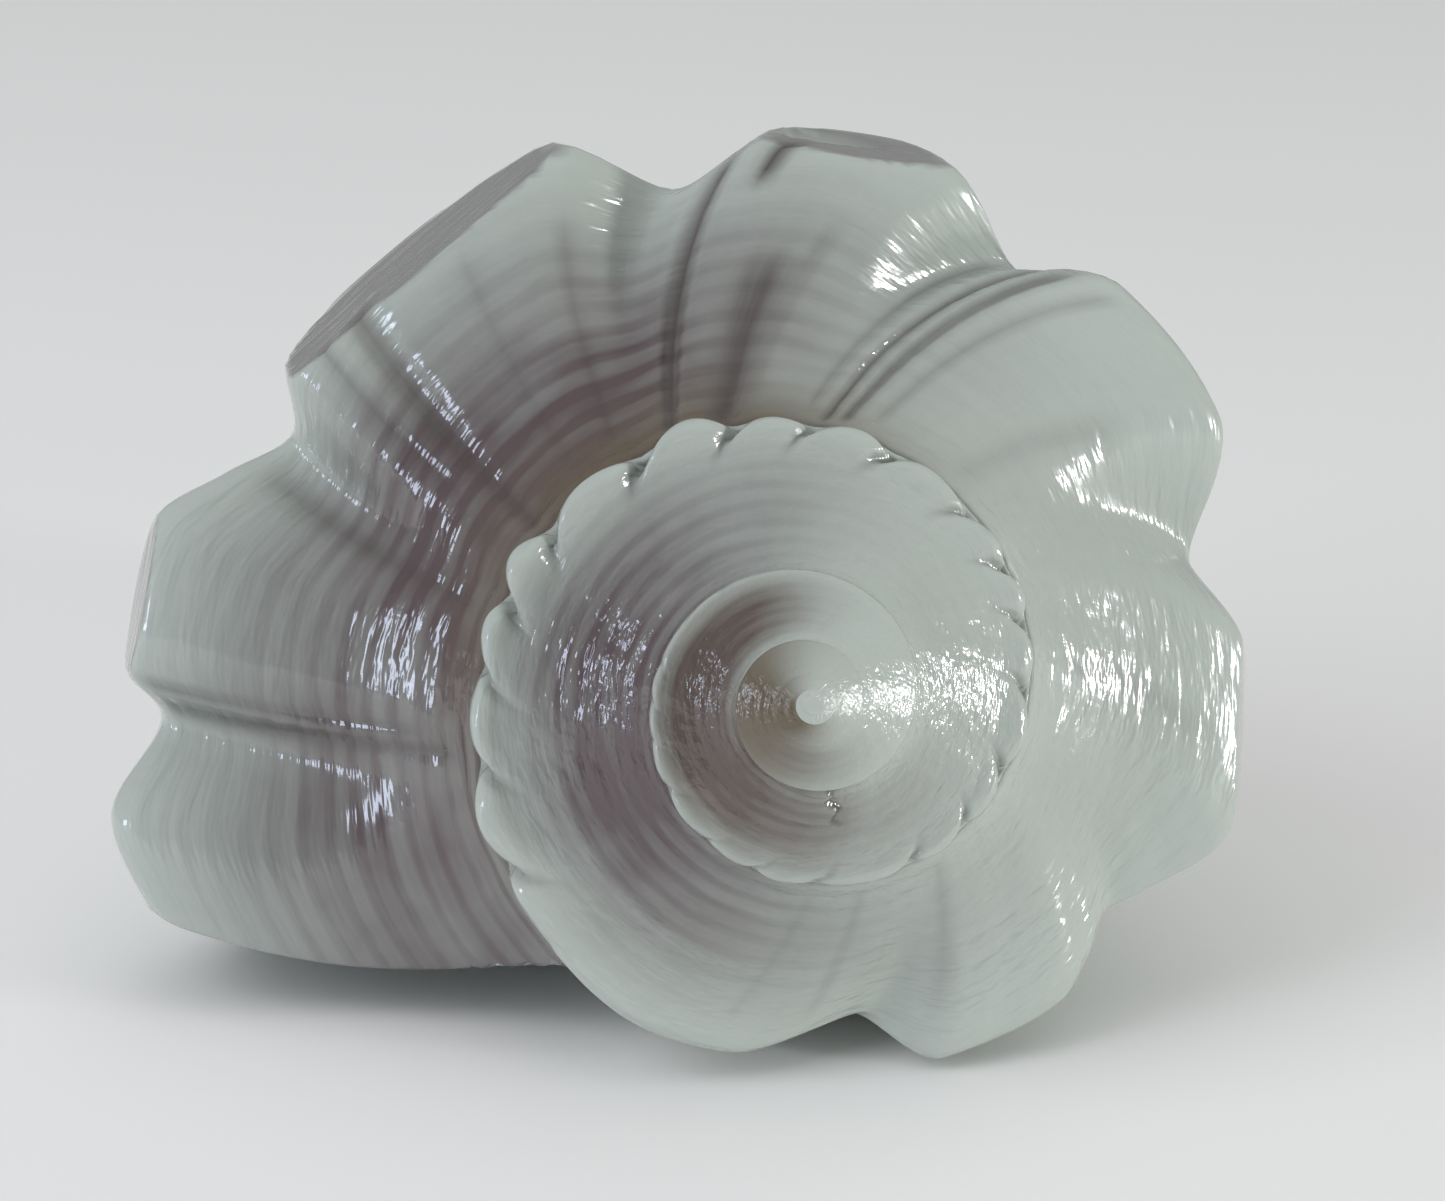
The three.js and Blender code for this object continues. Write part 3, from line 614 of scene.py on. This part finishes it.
def scores(line, row):
    """Depth of the fine grooves, in millimetres."""
    depth = np.zeros_like(line)
    for centre, width, deep, first, last in SCORES:
        across = np.exp(-(((line - centre) / width) ** 2))
        depth = np.maximum(depth, deep * across * ramp_window(row, first, 0.08, last, 0.12))
    return depth


def knuckle_size(line, growth):
    """Size of the lumps along a rim, which never quite fade out between the third turn and the body."""
    least = 0.65 * smooth_step(540, 700, line) * (1 - smooth_step(RIM_END, RIM_END + 25, line))
    return np.maximum(growth.nodule_size(line), least)


def knuckles(line, row, growth):
    """Rounded lumps on the edge of the rim, between the creases."""
    lump = growth.nodule_fold(line) ** 0.7 - 0.5
    return knuckle_size(line, growth) * lump * ramp_window(row, 0.74, 0.2, 1.16, 0.12)


def creases(line, row, growth):
    """Narrow folds that part the nodules and run a little way in over the ramp."""
    fold = np.exp(-((growth.nodule_fold(line + 5 * (row - 1)) / CREASE_WIDTH) ** 2))
    return knuckle_size(line, growth) * fold * ramp_window(row, 0.66, 0.3, 1.16, 0.1)


def growth_break(line, row):
    """An old broken edge on an inner whorl, where growth stopped and started again: its height and crack."""
    edge = line - (BREAK_LINE + 30 * row + 2.5 * np.sin(30 * row))
    kept = 1 - smooth_step(0.36, 0.48, row)
    crack = np.exp(-(((edge - 1.5) / 1.6) ** 2))
    return kept * smooth_step(2.5, -1, edge) * smooth_step(-45, 0, edge), kept * crack


def knob_pit(line, row):
    """Long oval opening worn into the top of one knob."""
    (line_place, row_place), (half_width, half_height) = PIT_PLACE, PIT_SIZE
    off = ((line - line_place) / half_width) ** 2 + ((row - row_place) / half_height) ** 2
    return np.clip(1.4 - off, 0, 1)


def surface_relief(labels, growth):
    """Height of the fine shape over the plain wall at every point, in millimetres."""
    line, row, inside = labels.T
    turn = 2 * np.pi * cord_phase(line, row, growth)
    wander = 0.9 * np.sin(np.radians(line * 1.3)) + 0.6 * np.sin(np.radians(line * 3.1 + 50))
    uneven = 0.75 + 0.35 * np.sin(turn * 0.37 + line * 0.021) * np.sin(np.radians(line * 2.7))
    lee = 0.35 + 0.65 * toward(line, 200)
    cords = np.cos(turn + wander) * follow(CORD_HEIGHT, line) * hollow(row) * uneven * lee
    folds = np.sin(np.radians(line * 21 + 60 * np.sin(np.radians(line * 2.2)) + 30 * row))
    folds = folds * FOLD_HEIGHT * growth.scale(line) * ramp_window(row, 0.05, 0.3, 1.1, 0.2)
    worn = scores(line, row) + PIT_DEPTH * knob_pit(line, row)
    rim = KNUCKLE_HEIGHT * knuckles(line, row, growth) - CREASE_DEPTH * creases(line, row, growth)
    height = cords + folds + BREAK_HEIGHT * growth_break(line, row)[0] - worn + growth.scale(line) * rim
    return np.where(inside > 0, 0.0, height)


# Mauve of the hollow ramp, partly the shell's own tint and partly painted shade on the side away from the
# light: growth line against its strength.
MAUVE = (
    (430, 0.35), (470, 0.95), (540, 1.45), (600, 1.05), (650, 0.35), (760, 0.1), (830, 0.75), (900, 1.2),
    (940, 0.9), (972, 0.48), (1010, 0.18), (1040, 0.1), (1110, 0.1), (1140, 0.38), (1165, 0.8), (1200, 1.02),
    (1250, 1.0), (1280, 0.95),
)


def surface_pattern(marks, growth):
    """Cord phase, strength of the mauve (tint and painted shade) and strength of the brown stain with its
    painted shade, at every corner.
    """
    line, row, inside = marks.T
    # The hollow side is also the side away from the light. The mauve and brown made stronger there are partly
    # painted shade, and on the first turns the mauve follows that side alone, as painted shade.
    lee = toward(line, HOLLOW_SIDE) ** 1.6
    early = 1 - smooth_step(400, 480, line)
    strength = follow(MAUVE, line) * (1 - early) + 1.1 * lee * early * smooth_step(60, 330, line)
    reach = 0.95 + 0.15 * (1 - smooth_step(700, 1000, line))
    # Where a suture is flush the colour starts gradually, so that it runs on from the whorl before.
    step = np.clip(1.3 * growth.suture_depth(line - 330), 0, 1)
    start = step + (1 - step) * smooth_step(0, 0.35, row)
    band = start * (1 - smooth_step(reach - 0.6, reach, row)) * strength
    # Brown at the apex, strongest on the side away from the light, and a brown band in the suture of the body
    # whorl: partly stain, partly painted shade.
    apex = smooth_step(-420, -150, line) * (1 - smooth_step(150, 420, line))
    suture = np.exp(-(row / 0.18) ** 2) * smooth_step(1090, 1150, line) * (1 - smooth_step(1210, 1290, line))
    inner = 0.4 * np.clip(band, 0, 1) * (1 - smooth_step(560, 860, line))
    stain_and_shade = np.maximum(apex * (0.06 + 1.25 * lee), inner) + 0.9 * suture
    return np.stack([cord_phase(line, row, growth), band * (1 - inside), stain_and_shade * (1 - inside)], axis=1)


def surface_marks(marks, growth):
    """Darkness of the fine grooves, of the creases between nodules and of the flats, at every corner: dirt and
    painted shade in the grooves and creases, painted shade on the flats.
    """
    line, row, inside = marks.T
    # A dark seam along the suture: painted shade in its groove.
    seam = (0.1 + 0.7 * smooth_step(900, 960, line)) * smooth_step(700, 800, line)
    seam = seam * np.exp(-((row / 0.03) ** 2))
    score = np.maximum.reduce([1.1 * scores(line, row), seam, growth_break(line, row)[1]])
    # The creases between the nodules are darkened as painted shadow.
    crease = creases(line, row, growth)
    ground = growth.ground(line, row) * (1 - knob_pit(line, row))
    return np.stack([score, crease, ground], axis=1) * (1 - inside)[:, None]


def vertex_normals(points, faces):
    """Direction in which the skin faces at every point."""
    normals = np.zeros_like(points)
    for group in faces:
        corners = points[group]
        facing = np.cross(corners[:, 2] - corners[:, 0], corners[:, -1] - corners[:, 1])
        for corner in group.T:
            np.add.at(normals, corner, facing)
    return normals / np.maximum(np.linalg.norm(normals, axis=1), 1e-9)[:, None]


def pose_matrix(settings):
    """Turns the shell from its own axis into its resting pose."""
    pitch = Matrix.Rotation(-settings.axis_pitch, 3, "X")
    roll = Matrix.Rotation(settings.axis_roll, 3, "Y")
    return np.array(pitch @ roll)


def build_shell(settings):
    """All points, faces and labels of the shell, in millimetres and in its resting pose."""
    growth = Growth(settings)
    lines, closing = growth_lines(growth, FIRST_ANGLE, settings.columns)
    ramp_rows = spread((0, 0.08, 0.22, 0.42, 0.64, 0.82, 0.95, 1.04, NEXT_SUTURE), settings.rows_between)
    side_shares = np.concatenate([np.linspace(0.02, 0.85, 32), np.linspace(0.865, 0.985, 8)])
    side_rows = NEXT_SUTURE + side_shares * (LAST_ROW - NEXT_SUTURE)
    mesh = ShellMesh()
    ids, side_ids, tip = whorl_skin(mesh, growth, lines, closing, settings.columns, ramp_rows, side_rows)
    cavity_skin(mesh, growth, ids, side_ids, tip, ramp_rows, side_shares, settings)
    points = mesh.coordinates()
    relief = surface_relief(np.concatenate(mesh.labels), growth)
    points = points + relief[:, None] * vertex_normals(points, mesh.faces)
    return points @ pose_matrix(settings).T, mesh.faces, mesh.marks


def fit_to_box(points, low, high):
    """Centres the shell over the CAD box, stands it on the floor and keeps it inside the box."""
    size = points.max(axis=0) - points.min(axis=0)
    middle = 0.5 * (points.max(axis=0) + points.min(axis=0))
    wanted = 0.5 * (low + high)
    scale = min(1.0, float(np.min((high - low) / size)))
    moved = (points - middle) * scale + wanted
    moved[:, 2] += low[2] - moved[:, 2].min()
    return moved


def store(mesh, name, values):
    """Keeps three numbers for every corner of the mesh."""
    attribute = mesh.attributes.new(name, "FLOAT_VECTOR", "CORNER")
    attribute.data.foreach_set("vector", values.astype(np.float32).ravel())


def shell_object(settings):
    """The shell as one mesh, with what its material needs to know at every corner."""
    low, high = (np.array(corner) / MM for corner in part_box("shell"))
    points, faces, marks = build_shell(settings)
    points = fit_to_box(points, low, high) * MM
    mesh = bpy.data.meshes.new("conch")
    loops = np.concatenate([group.ravel() for group in faces])
    sizes = np.concatenate([np.full(len(group), group.shape[1]) for group in faces])
    mesh.vertices.add(len(points))
    mesh.vertices.foreach_set("co", points.astype(np.float32).ravel())
    mesh.loops.add(len(loops))
    mesh.loops.foreach_set("vertex_index", loops.astype(np.int32))
    mesh.polygons.add(len(sizes))
    mesh.polygons.foreach_set("loop_start", (np.cumsum(sizes) - sizes).astype(np.int32))
    mesh.update(calc_edges=True)
    mesh.shade_smooth()
    if mesh.validate(verbose=False):
        raise RuntimeError("the shell's mesh had faulty faces")
    marks = np.concatenate([group.reshape(-1, 3) for group in marks])
    store(mesh, "growth", marks)
    store(mesh, "pattern", surface_pattern(marks, Growth(settings)))
    store(mesh, "marks", surface_marks(marks, Growth(settings)))
    piece = bpy.data.objects.new("conch_shell_skin", mesh)
    bpy.context.scene.collection.objects.link(piece)
    return piece


def linear(code):
    """sRGB hex to linear red, green, blue and alpha."""
    parts = [int(code[i:i + 2], 16) / 255 for i in (1, 3, 5)]
    return tuple(p / 12.92 if p <= 0.04045 else ((p + 0.055) / 1.055) ** 2.4 for p in parts) + (1.0,)


def add(tree, kind, inputs=None, **settings):
    """Adds one node, sets its properties and fills its inputs or links them. A node given as an input is
    linked by its first output."""
    node = tree.nodes.new(kind)
    for name, value in settings.items():
        setattr(node, name, value)
    for name, value in (inputs or {}).items():
        socket = node.inputs[name]
        if isinstance(value, bpy.types.Node):
            value = value.outputs[0]
        if isinstance(value, bpy.types.NodeSocket):
            tree.links.new(value, socket)
        else:
            socket.default_value = value
    return node


def polished_aragonite(settings):
    """Conch shell, which is aragonite, ground back to its white layer and polished: a deep wet gloss over a
    milky body, with the mauve layer showing through in the hollows and deepened there as painted shade, and
    dirt and painted shade in the grooves."""
    material = bpy.data.materials.new("polished_aragonite_shell")
    material.use_nodes = True
    tree = material.node_tree
    tree.nodes.clear()
    places = add(tree, "ShaderNodeAttribute", attribute_name="growth").outputs["Vector"]
    growth = add(tree, "ShaderNodeSeparateXYZ", {"Vector": places})
    patterns = add(tree, "ShaderNodeAttribute", attribute_name="pattern").outputs["Vector"]
    pattern = add(tree, "ShaderNodeSeparateXYZ", {"Vector": patterns})
    worn = add(tree, "ShaderNodeAttribute", attribute_name="marks").outputs["Vector"]
    marks = add(tree, "ShaderNodeSeparateXYZ", {"Vector": worn})
    spiral = add(tree, "ShaderNodeCombineXYZ", {"X": growth.outputs["X"], "Y": pattern.outputs["X"]})
    body = add(tree, "ShaderNodeTexCoord").outputs["Object"]

    # Growth streaks run from the suture to the shoulder, 3.4 degrees wide: about 6 mm at the lip.
    streak_place = add(tree, "ShaderNodeVectorMath", {0: places, 1: (1 / 3.4, 1.6, 0)}, operation="MULTIPLY")
    streaks = add(tree, "ShaderNodeTexNoise", {
        "Vector": streak_place, "Scale": 1.0, "Detail": 3.0, "Roughness": 0.6})
    # Stripes run along the spiral, a little wider than a cord: 1.5 to 4.6 mm.
    stripe_place = add(tree, "ShaderNodeVectorMath", {0: spiral, 1: (1 / 30, 0.9, 0)}, operation="MULTIPLY")
    stripes = add(tree, "ShaderNodeTexNoise", {
        "Vector": stripe_place, "Scale": 1.0, "Detail": 2.0, "Roughness": 0.5})
    # Cloudy patches 22 mm across, where more or less of the white layer is left.
    clouds = add(tree, "ShaderNodeTexNoise", {"Vector": body, "Scale": 1 / (22 * MM), "Detail": 3.0})

    # The valleys between the cords get more of the mauve: partly the mauve lying nearer the surface there,
    # partly painted shade in the valleys.
    wander = add(tree, "ShaderNodeMath", {0: clouds, 1: 0.5}, operation="MULTIPLY")
    valley_place = add(tree, "ShaderNodeMath", {0: wander, 1: pattern.outputs["X"]}, operation="ADD")
    valley_turn = add(tree, "ShaderNodeMath", {0: valley_place, 1: 2 * math.pi}, operation="MULTIPLY")
    valley_wave = add(tree, "ShaderNodeMath", {0: valley_turn}, operation="COSINE")
    valleys = add(tree, "ShaderNodeMapRange", {
        "Value": valley_wave, "From Min": 0.6, "From Max": -0.9, "To Min": 0.0, "To Max": 0.14},
        interpolation_type="SMOOTHSTEP")
    striped = add(tree, "ShaderNodeMapRange", {
        "Value": stripes, "From Min": 0.2, "From Max": 0.8, "To Min": 0.78, "To Max": 1.0},
        interpolation_type="SMOOTHSTEP")
    clouded = add(tree, "ShaderNodeMapRange", {
        "Value": clouds, "From Min": 0.25, "From Max": 0.7, "To Min": 0.75, "To Max": 1.05},
        interpolation_type="SMOOTHSTEP")
    near = add(tree, "ShaderNodeMath", {0: valleys, 1: striped}, operation="ADD")
    patchy = add(tree, "ShaderNodeMath", {0: near, 1: clouded}, operation="MULTIPLY")
    # Mauve of the hollows: partly the shell's tint, partly painted shade on the side away from the light.
    mauve_layer_and_shade = add(tree, "ShaderNodeMath", {0: patchy, 1: pattern.outputs["Y"]}, operation="MULTIPLY")
    # The flats take the mauve as painted shade.
    flats = marks.outputs["Z"]
    painted_shade_and_mauve = add(tree, "ShaderNodeMath", {0: mauve_layer_and_shade, 1: flats}, operation="MAXIMUM", use_clamp=True)

    # Dirt and shadow in the grooves, uneven along them.
    uneven = add(tree, "ShaderNodeMapRange", {
        "Value": streaks, "From Min": 0.2, "From Max": 0.7, "To Min": 0.7, "To Max": 1.0},
        interpolation_type="SMOOTHSTEP")
    creases = add(tree, "ShaderNodeMath", {0: marks.outputs["Y"], 1: 0.75}, operation="MULTIPLY")
    grooves = add(tree, "ShaderNodeMath", {0: marks.outputs["X"], 1: creases}, operation="MAXIMUM")
    dirt_and_shade = add(tree, "ShaderNodeMath", {0: grooves, 1: uneven}, operation="MULTIPLY", use_clamp=True)
    # Brown stain, partly painted shade on the side away from the light and in the suture.
    stain_and_shade = pattern.outputs["Z"]
    browned = add(tree, "ShaderNodeMath", {0: clouded, 1: stain_and_shade}, operation="MULTIPLY", use_clamp=True)

    pale = add(tree, "ShaderNodeMix", {
        "Factor": streaks, 6: tuple(settings.white) + (1.0,), 7: linear("#B1BAB2")}, data_type="RGBA")
    tinted = add(tree, "ShaderNodeMix", {
        "Factor": painted_shade_and_mauve, 6: pale.outputs[2], 7: tuple(settings.mauve) + (1.0,)}, data_type="RGBA")
    stained_and_shaded = add(tree, "ShaderNodeMix", {
        "Factor": browned, 6: tinted.outputs[2], 7: linear("#62553F")}, data_type="RGBA")
    # Dirt and painted shade in the grooves, creases, suture seam and crack.
    soiled_and_shaded = add(tree, "ShaderNodeMix", {
        "Factor": dirt_and_shade, 6: stained_and_shaded.outputs[2], 7: linear("#473D3B")}, data_type="RGBA")

    # Polishing leaves ripples along the cords, about 2.3 mm apart on the body and 0.8 mm on the first turns,
    # and shows the ends of the growth layers.
    ripple_place = add(tree, "ShaderNodeVectorMath", {0: spiral, 1: (1 / 8, 1.8, 0)}, operation="MULTIPLY")
    ripples = add(tree, "ShaderNodeTexNoise", {
        "Vector": ripple_place, "Scale": 1.0, "Detail": 2.0, "Roughness": 0.55})
    grown = add(tree, "ShaderNodeMapRange", {
        "Value": growth.outputs["X"], "From Min": 100, "From Max": 900, "To Min": 0.3, "To Max": 1.0},
        interpolation_type="SMOOTHSTEP")
    rippled = add(tree, "ShaderNodeMath", {0: ripples, 1: grown}, operation="MULTIPLY")
    rounded = add(tree, "ShaderNodeBump", {"Height": rippled, "Strength": 0.8, "Distance": 0.6 * MM})
    relief = add(tree, "ShaderNodeBump", {
        "Height": streaks, "Strength": 0.25, "Distance": 0.3 * MM, "Normal": rounded})
    gloss = add(tree, "ShaderNodeMapRange", {
        "Value": streaks, "From Min": 0.3, "From Max": 0.7, "To Min": 0.14, "To Max": 0.24})
    shader = add(tree, "ShaderNodeBsdfPrincipled", {
        "Base Color": soiled_and_shaded.outputs[2],
        "Roughness": gloss,
        "IOR": 1.55,
        "Coat Weight": 0.8,
        "Coat Roughness": 0.04,
        "Subsurface Weight": 0.1,
        "Subsurface Radius": (1.0, 0.9, 0.8),
        "Subsurface Scale": 2.0 * MM,
        "Normal": relief,
        "Coat Normal": relief,
    })
    add(tree, "ShaderNodeOutputMaterial", {"Surface": shader})
    return material


def painted_board():
    """Painted board: an even pale ground without gloss."""
    material = bpy.data.materials.new("matt_painted_board")
    material.use_nodes = True
    shader = material.node_tree.nodes["Principled BSDF"]
    shader.inputs["Base Color"].default_value = linear("#F8F8F6")
    shader.inputs["Roughness"].default_value = 0.8
    return material


# The camera looks past the apex from an azimuth and elevation in degrees. Lengths in metres, the apex in mm.
APEX_PLACE = (17.06, -96.47, 59.81)
CAMERA_AZIMUTH = -4.2
CAMERA_ELEVATION = 21.0
CAMERA_DISTANCE = 0.575
CAMERA_NEAR = 0.01
CAMERA_SHIFT = (-0.064, 0.0876)
SENSOR_WIDTH = 36.0
WORLD_STRENGTH = 0.34

# Lights, which point at a place inside the shell: name, azimuth, elevation, distance, width, height, power in
# watts, colour, and whether the polish mirrors them.
LIT_PLACE = (0.0, 0.0, 0.06)
LIGHTS = (
    ("window_right", 61, 5, 1.2, 0.12, 0.22, 5.5, "#FFFFFF", True),
    ("window_left", -58, 9, 1.5, 0.26, 0.32, 2.4, "#DCE8FF", True),
    ("fill_left", -62, 34, 1.8, 1.4, 1.4, 13, "#F6F8FF", False),
    ("ceiling", 20, 86, 3.0, 4.0, 4.0, 34, "#FFFFFF", False),
)


def direction(azimuth, elevation):
    """Unit vector from the shell towards an azimuth, counted from the front, and an elevation, in degrees."""
    azimuth, elevation = math.radians(azimuth), math.radians(elevation)
    return Vector((
        math.sin(azimuth) * math.cos(elevation),
        -math.cos(azimuth) * math.cos(elevation),
        math.sin(elevation),
    ))


def softbox(name, azimuth, elevation, distance, width, height, power, colour, mirrored):
    """A rectangular lamp that points at the shell from an azimuth and elevation in degrees."""
    light = bpy.data.lights.new(name, "AREA")
    light.shape = "RECTANGLE"
    light.size = width
    light.size_y = height
    light.energy = power
    light.color = linear(colour)[:3]
    lamp = bpy.data.objects.new(name, light)
    away = direction(azimuth, elevation)
    lamp.location = Vector(LIT_PLACE) + away * distance
    lamp.rotation_euler = away.to_track_quat("Z", "Y").to_euler()
    lamp.visible_glossy = mirrored
    bpy.context.scene.collection.objects.link(lamp)


class ConchShellSettings(bpy.types.PropertyGroup):
    white: bpy.props.FloatVectorProperty(
        name="White", description="Polished white of the shell", subtype="COLOR", size=3,
        default=linear("#B9C1BA")[:3], min=0, max=1)
    # The mauve is partly the shell's own tint and partly painted shade in the hollows away from the light.
    mauve: bpy.props.FloatVectorProperty(
        name="Mauve", description="Layer that shows in the hollows", subtype="COLOR", size=3,
        default=linear("#57494B")[:3], min=0, max=1)
    length: bpy.props.FloatProperty(
        name="Length", description="Length of the shell along its axis", default=0.203, unit="LENGTH")
    whorl_growth: bpy.props.FloatProperty(
        name="Growth", description="How many times wider each turn is than the one before", default=2.12,
        subtype="FACTOR")
    axis_pitch: bpy.props.FloatProperty(
        name="Pitch", description="Lift of the apex as the shell rests",
        default=math.radians(16.85), unit="ROTATION")
    axis_roll: bpy.props.FloatProperty(
        name="Roll", description="Turn of the shell about its axis as it rests",
        default=math.radians(1.67), unit="ROTATION")
    columns: bpy.props.IntProperty(
        name="Columns", description="Growth lines drawn for each turn", default=340, subtype="UNSIGNED")
    rows_between: bpy.props.IntProperty(
        name="Rows", description="Rows drawn between two marks of the ramp", default=7, subtype="UNSIGNED")
    cavity_depth: bpy.props.FloatProperty(
        name="Cavity", description="Turn through which the cavity winds in behind the lip",
        default=math.radians(430), unit="ROTATION")
    cavity_steps: bpy.props.IntProperty(
        name="Cavity steps", description="Rings drawn along the cavity", default=60, subtype="UNSIGNED")
    lip_steps: bpy.props.IntProperty(
        name="Lip steps", description="Rings drawn round the edge of the lip", default=8, subtype="UNSIGNED")


class ConchStageSettings(bpy.types.PropertyGroup):
    floor_size: bpy.props.FloatProperty(
        name="Floor", description="Side of the floor", default=12.0, unit="LENGTH")
    lens: bpy.props.FloatProperty(
        name="Lens", description="Focal length of the camera", default=106.9, unit="CAMERA")


class CONCH_OT_grow_shell(bpy.types.Operator):
    """Grow the shell and give it its polish"""

    bl_idname = "conch.grow_shell"
    bl_label = "Grow the shell"

    def execute(self, context):
        settings = context.scene.conch_shell
        piece = shell_object(settings)
        piece.data.materials.append(polished_aragonite(settings))
        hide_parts("shell")
        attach(piece, "root")
        return {"FINISHED"}


class CONCH_OT_set_stage(bpy.types.Operator):
    """Lay the floor and place the lights and the camera"""

    bl_idname = "conch.set_stage"
    bl_label = "Set the stage"

    def execute(self, context):
        settings = context.scene.conch_stage
        half = settings.floor_size / 2
        corners = [(x * half, y * half, 0) for x, y in ((-1, -1), (1, -1), (1, 1), (-1, 1))]
        floor = bpy.data.meshes.new("floor")
        floor.from_pydata(corners, [], [(0, 1, 2, 3)])
        floor.materials.append(painted_board())
        if not floor.polygons:
            raise RuntimeError("the floor has no face")
        board = bpy.data.objects.new("floor", floor)
        context.scene.collection.objects.link(board)

        back = direction(CAMERA_AZIMUTH, CAMERA_ELEVATION)
        eye = bpy.data.cameras.new("camera")
        eye.lens = settings.lens
        eye.sensor_width = SENSOR_WIDTH
        eye.shift_x, eye.shift_y = CAMERA_SHIFT
        eye.clip_start = CAMERA_NEAR
        camera = bpy.data.objects.new("camera", eye)
        camera.location = Vector(APEX_PLACE) * MM + back * CAMERA_DISTANCE
        camera.rotation_euler = back.to_track_quat("Z", "Y").to_euler()
        context.scene.collection.objects.link(camera)
        context.scene.camera = camera

        for light in LIGHTS:
            softbox(*light)
        world = bpy.data.worlds.new("studio")
        world.use_nodes = True
        world.node_tree.nodes["Background"].inputs["Color"].default_value = linear("#F4F5F7")
        world.node_tree.nodes["Background"].inputs["Strength"].default_value = WORLD_STRENGTH
        context.scene.world = world
        context.scene.view_settings.view_transform = "Standard"
        return {"FINISHED"}


class CONCH_PT_sidebar(bpy.types.Panel):
    """Sidebar panel of the conch shell"""

    bl_idname = "CONCH_PT_sidebar"
    bl_label = "Conch shell"
    bl_space_type = "VIEW_3D"
    bl_region_type = "UI"
    bl_category = "Conch"

    def draw(self, context):
        layout = self.layout
        for group in (context.scene.conch_shell, context.scene.conch_stage):
            column = layout.column()
            for name in group.__annotations__:
                column.prop(group, name)
        for operator in OPERATORS:
            layout.operator(operator.bl_idname)


OPERATORS = (CONCH_OT_set_stage, CONCH_OT_grow_shell)
CLASSES = (ConchShellSettings, ConchStageSettings) + OPERATORS + (CONCH_PT_sidebar,)


def register():
    """Adds the settings, operators and panel to Blender."""
    for cls in CLASSES:
        bpy.utils.register_class(cls)
    bpy.types.Scene.conch_shell = bpy.props.PointerProperty(type=ConchShellSettings)
    bpy.types.Scene.conch_stage = bpy.props.PointerProperty(type=ConchStageSettings)


def unregister():
    """Takes them out again."""
    del bpy.types.Scene.conch_stage
    del bpy.types.Scene.conch_shell
    for cls in reversed(CLASSES):
        bpy.utils.unregister_class(cls)


def main():
    """Sets the stage and grows the shell."""
    register()
    bpy.ops.conch.set_stage()
    bpy.ops.conch.grow_shell()


if __name__ == "__main__":
    main()
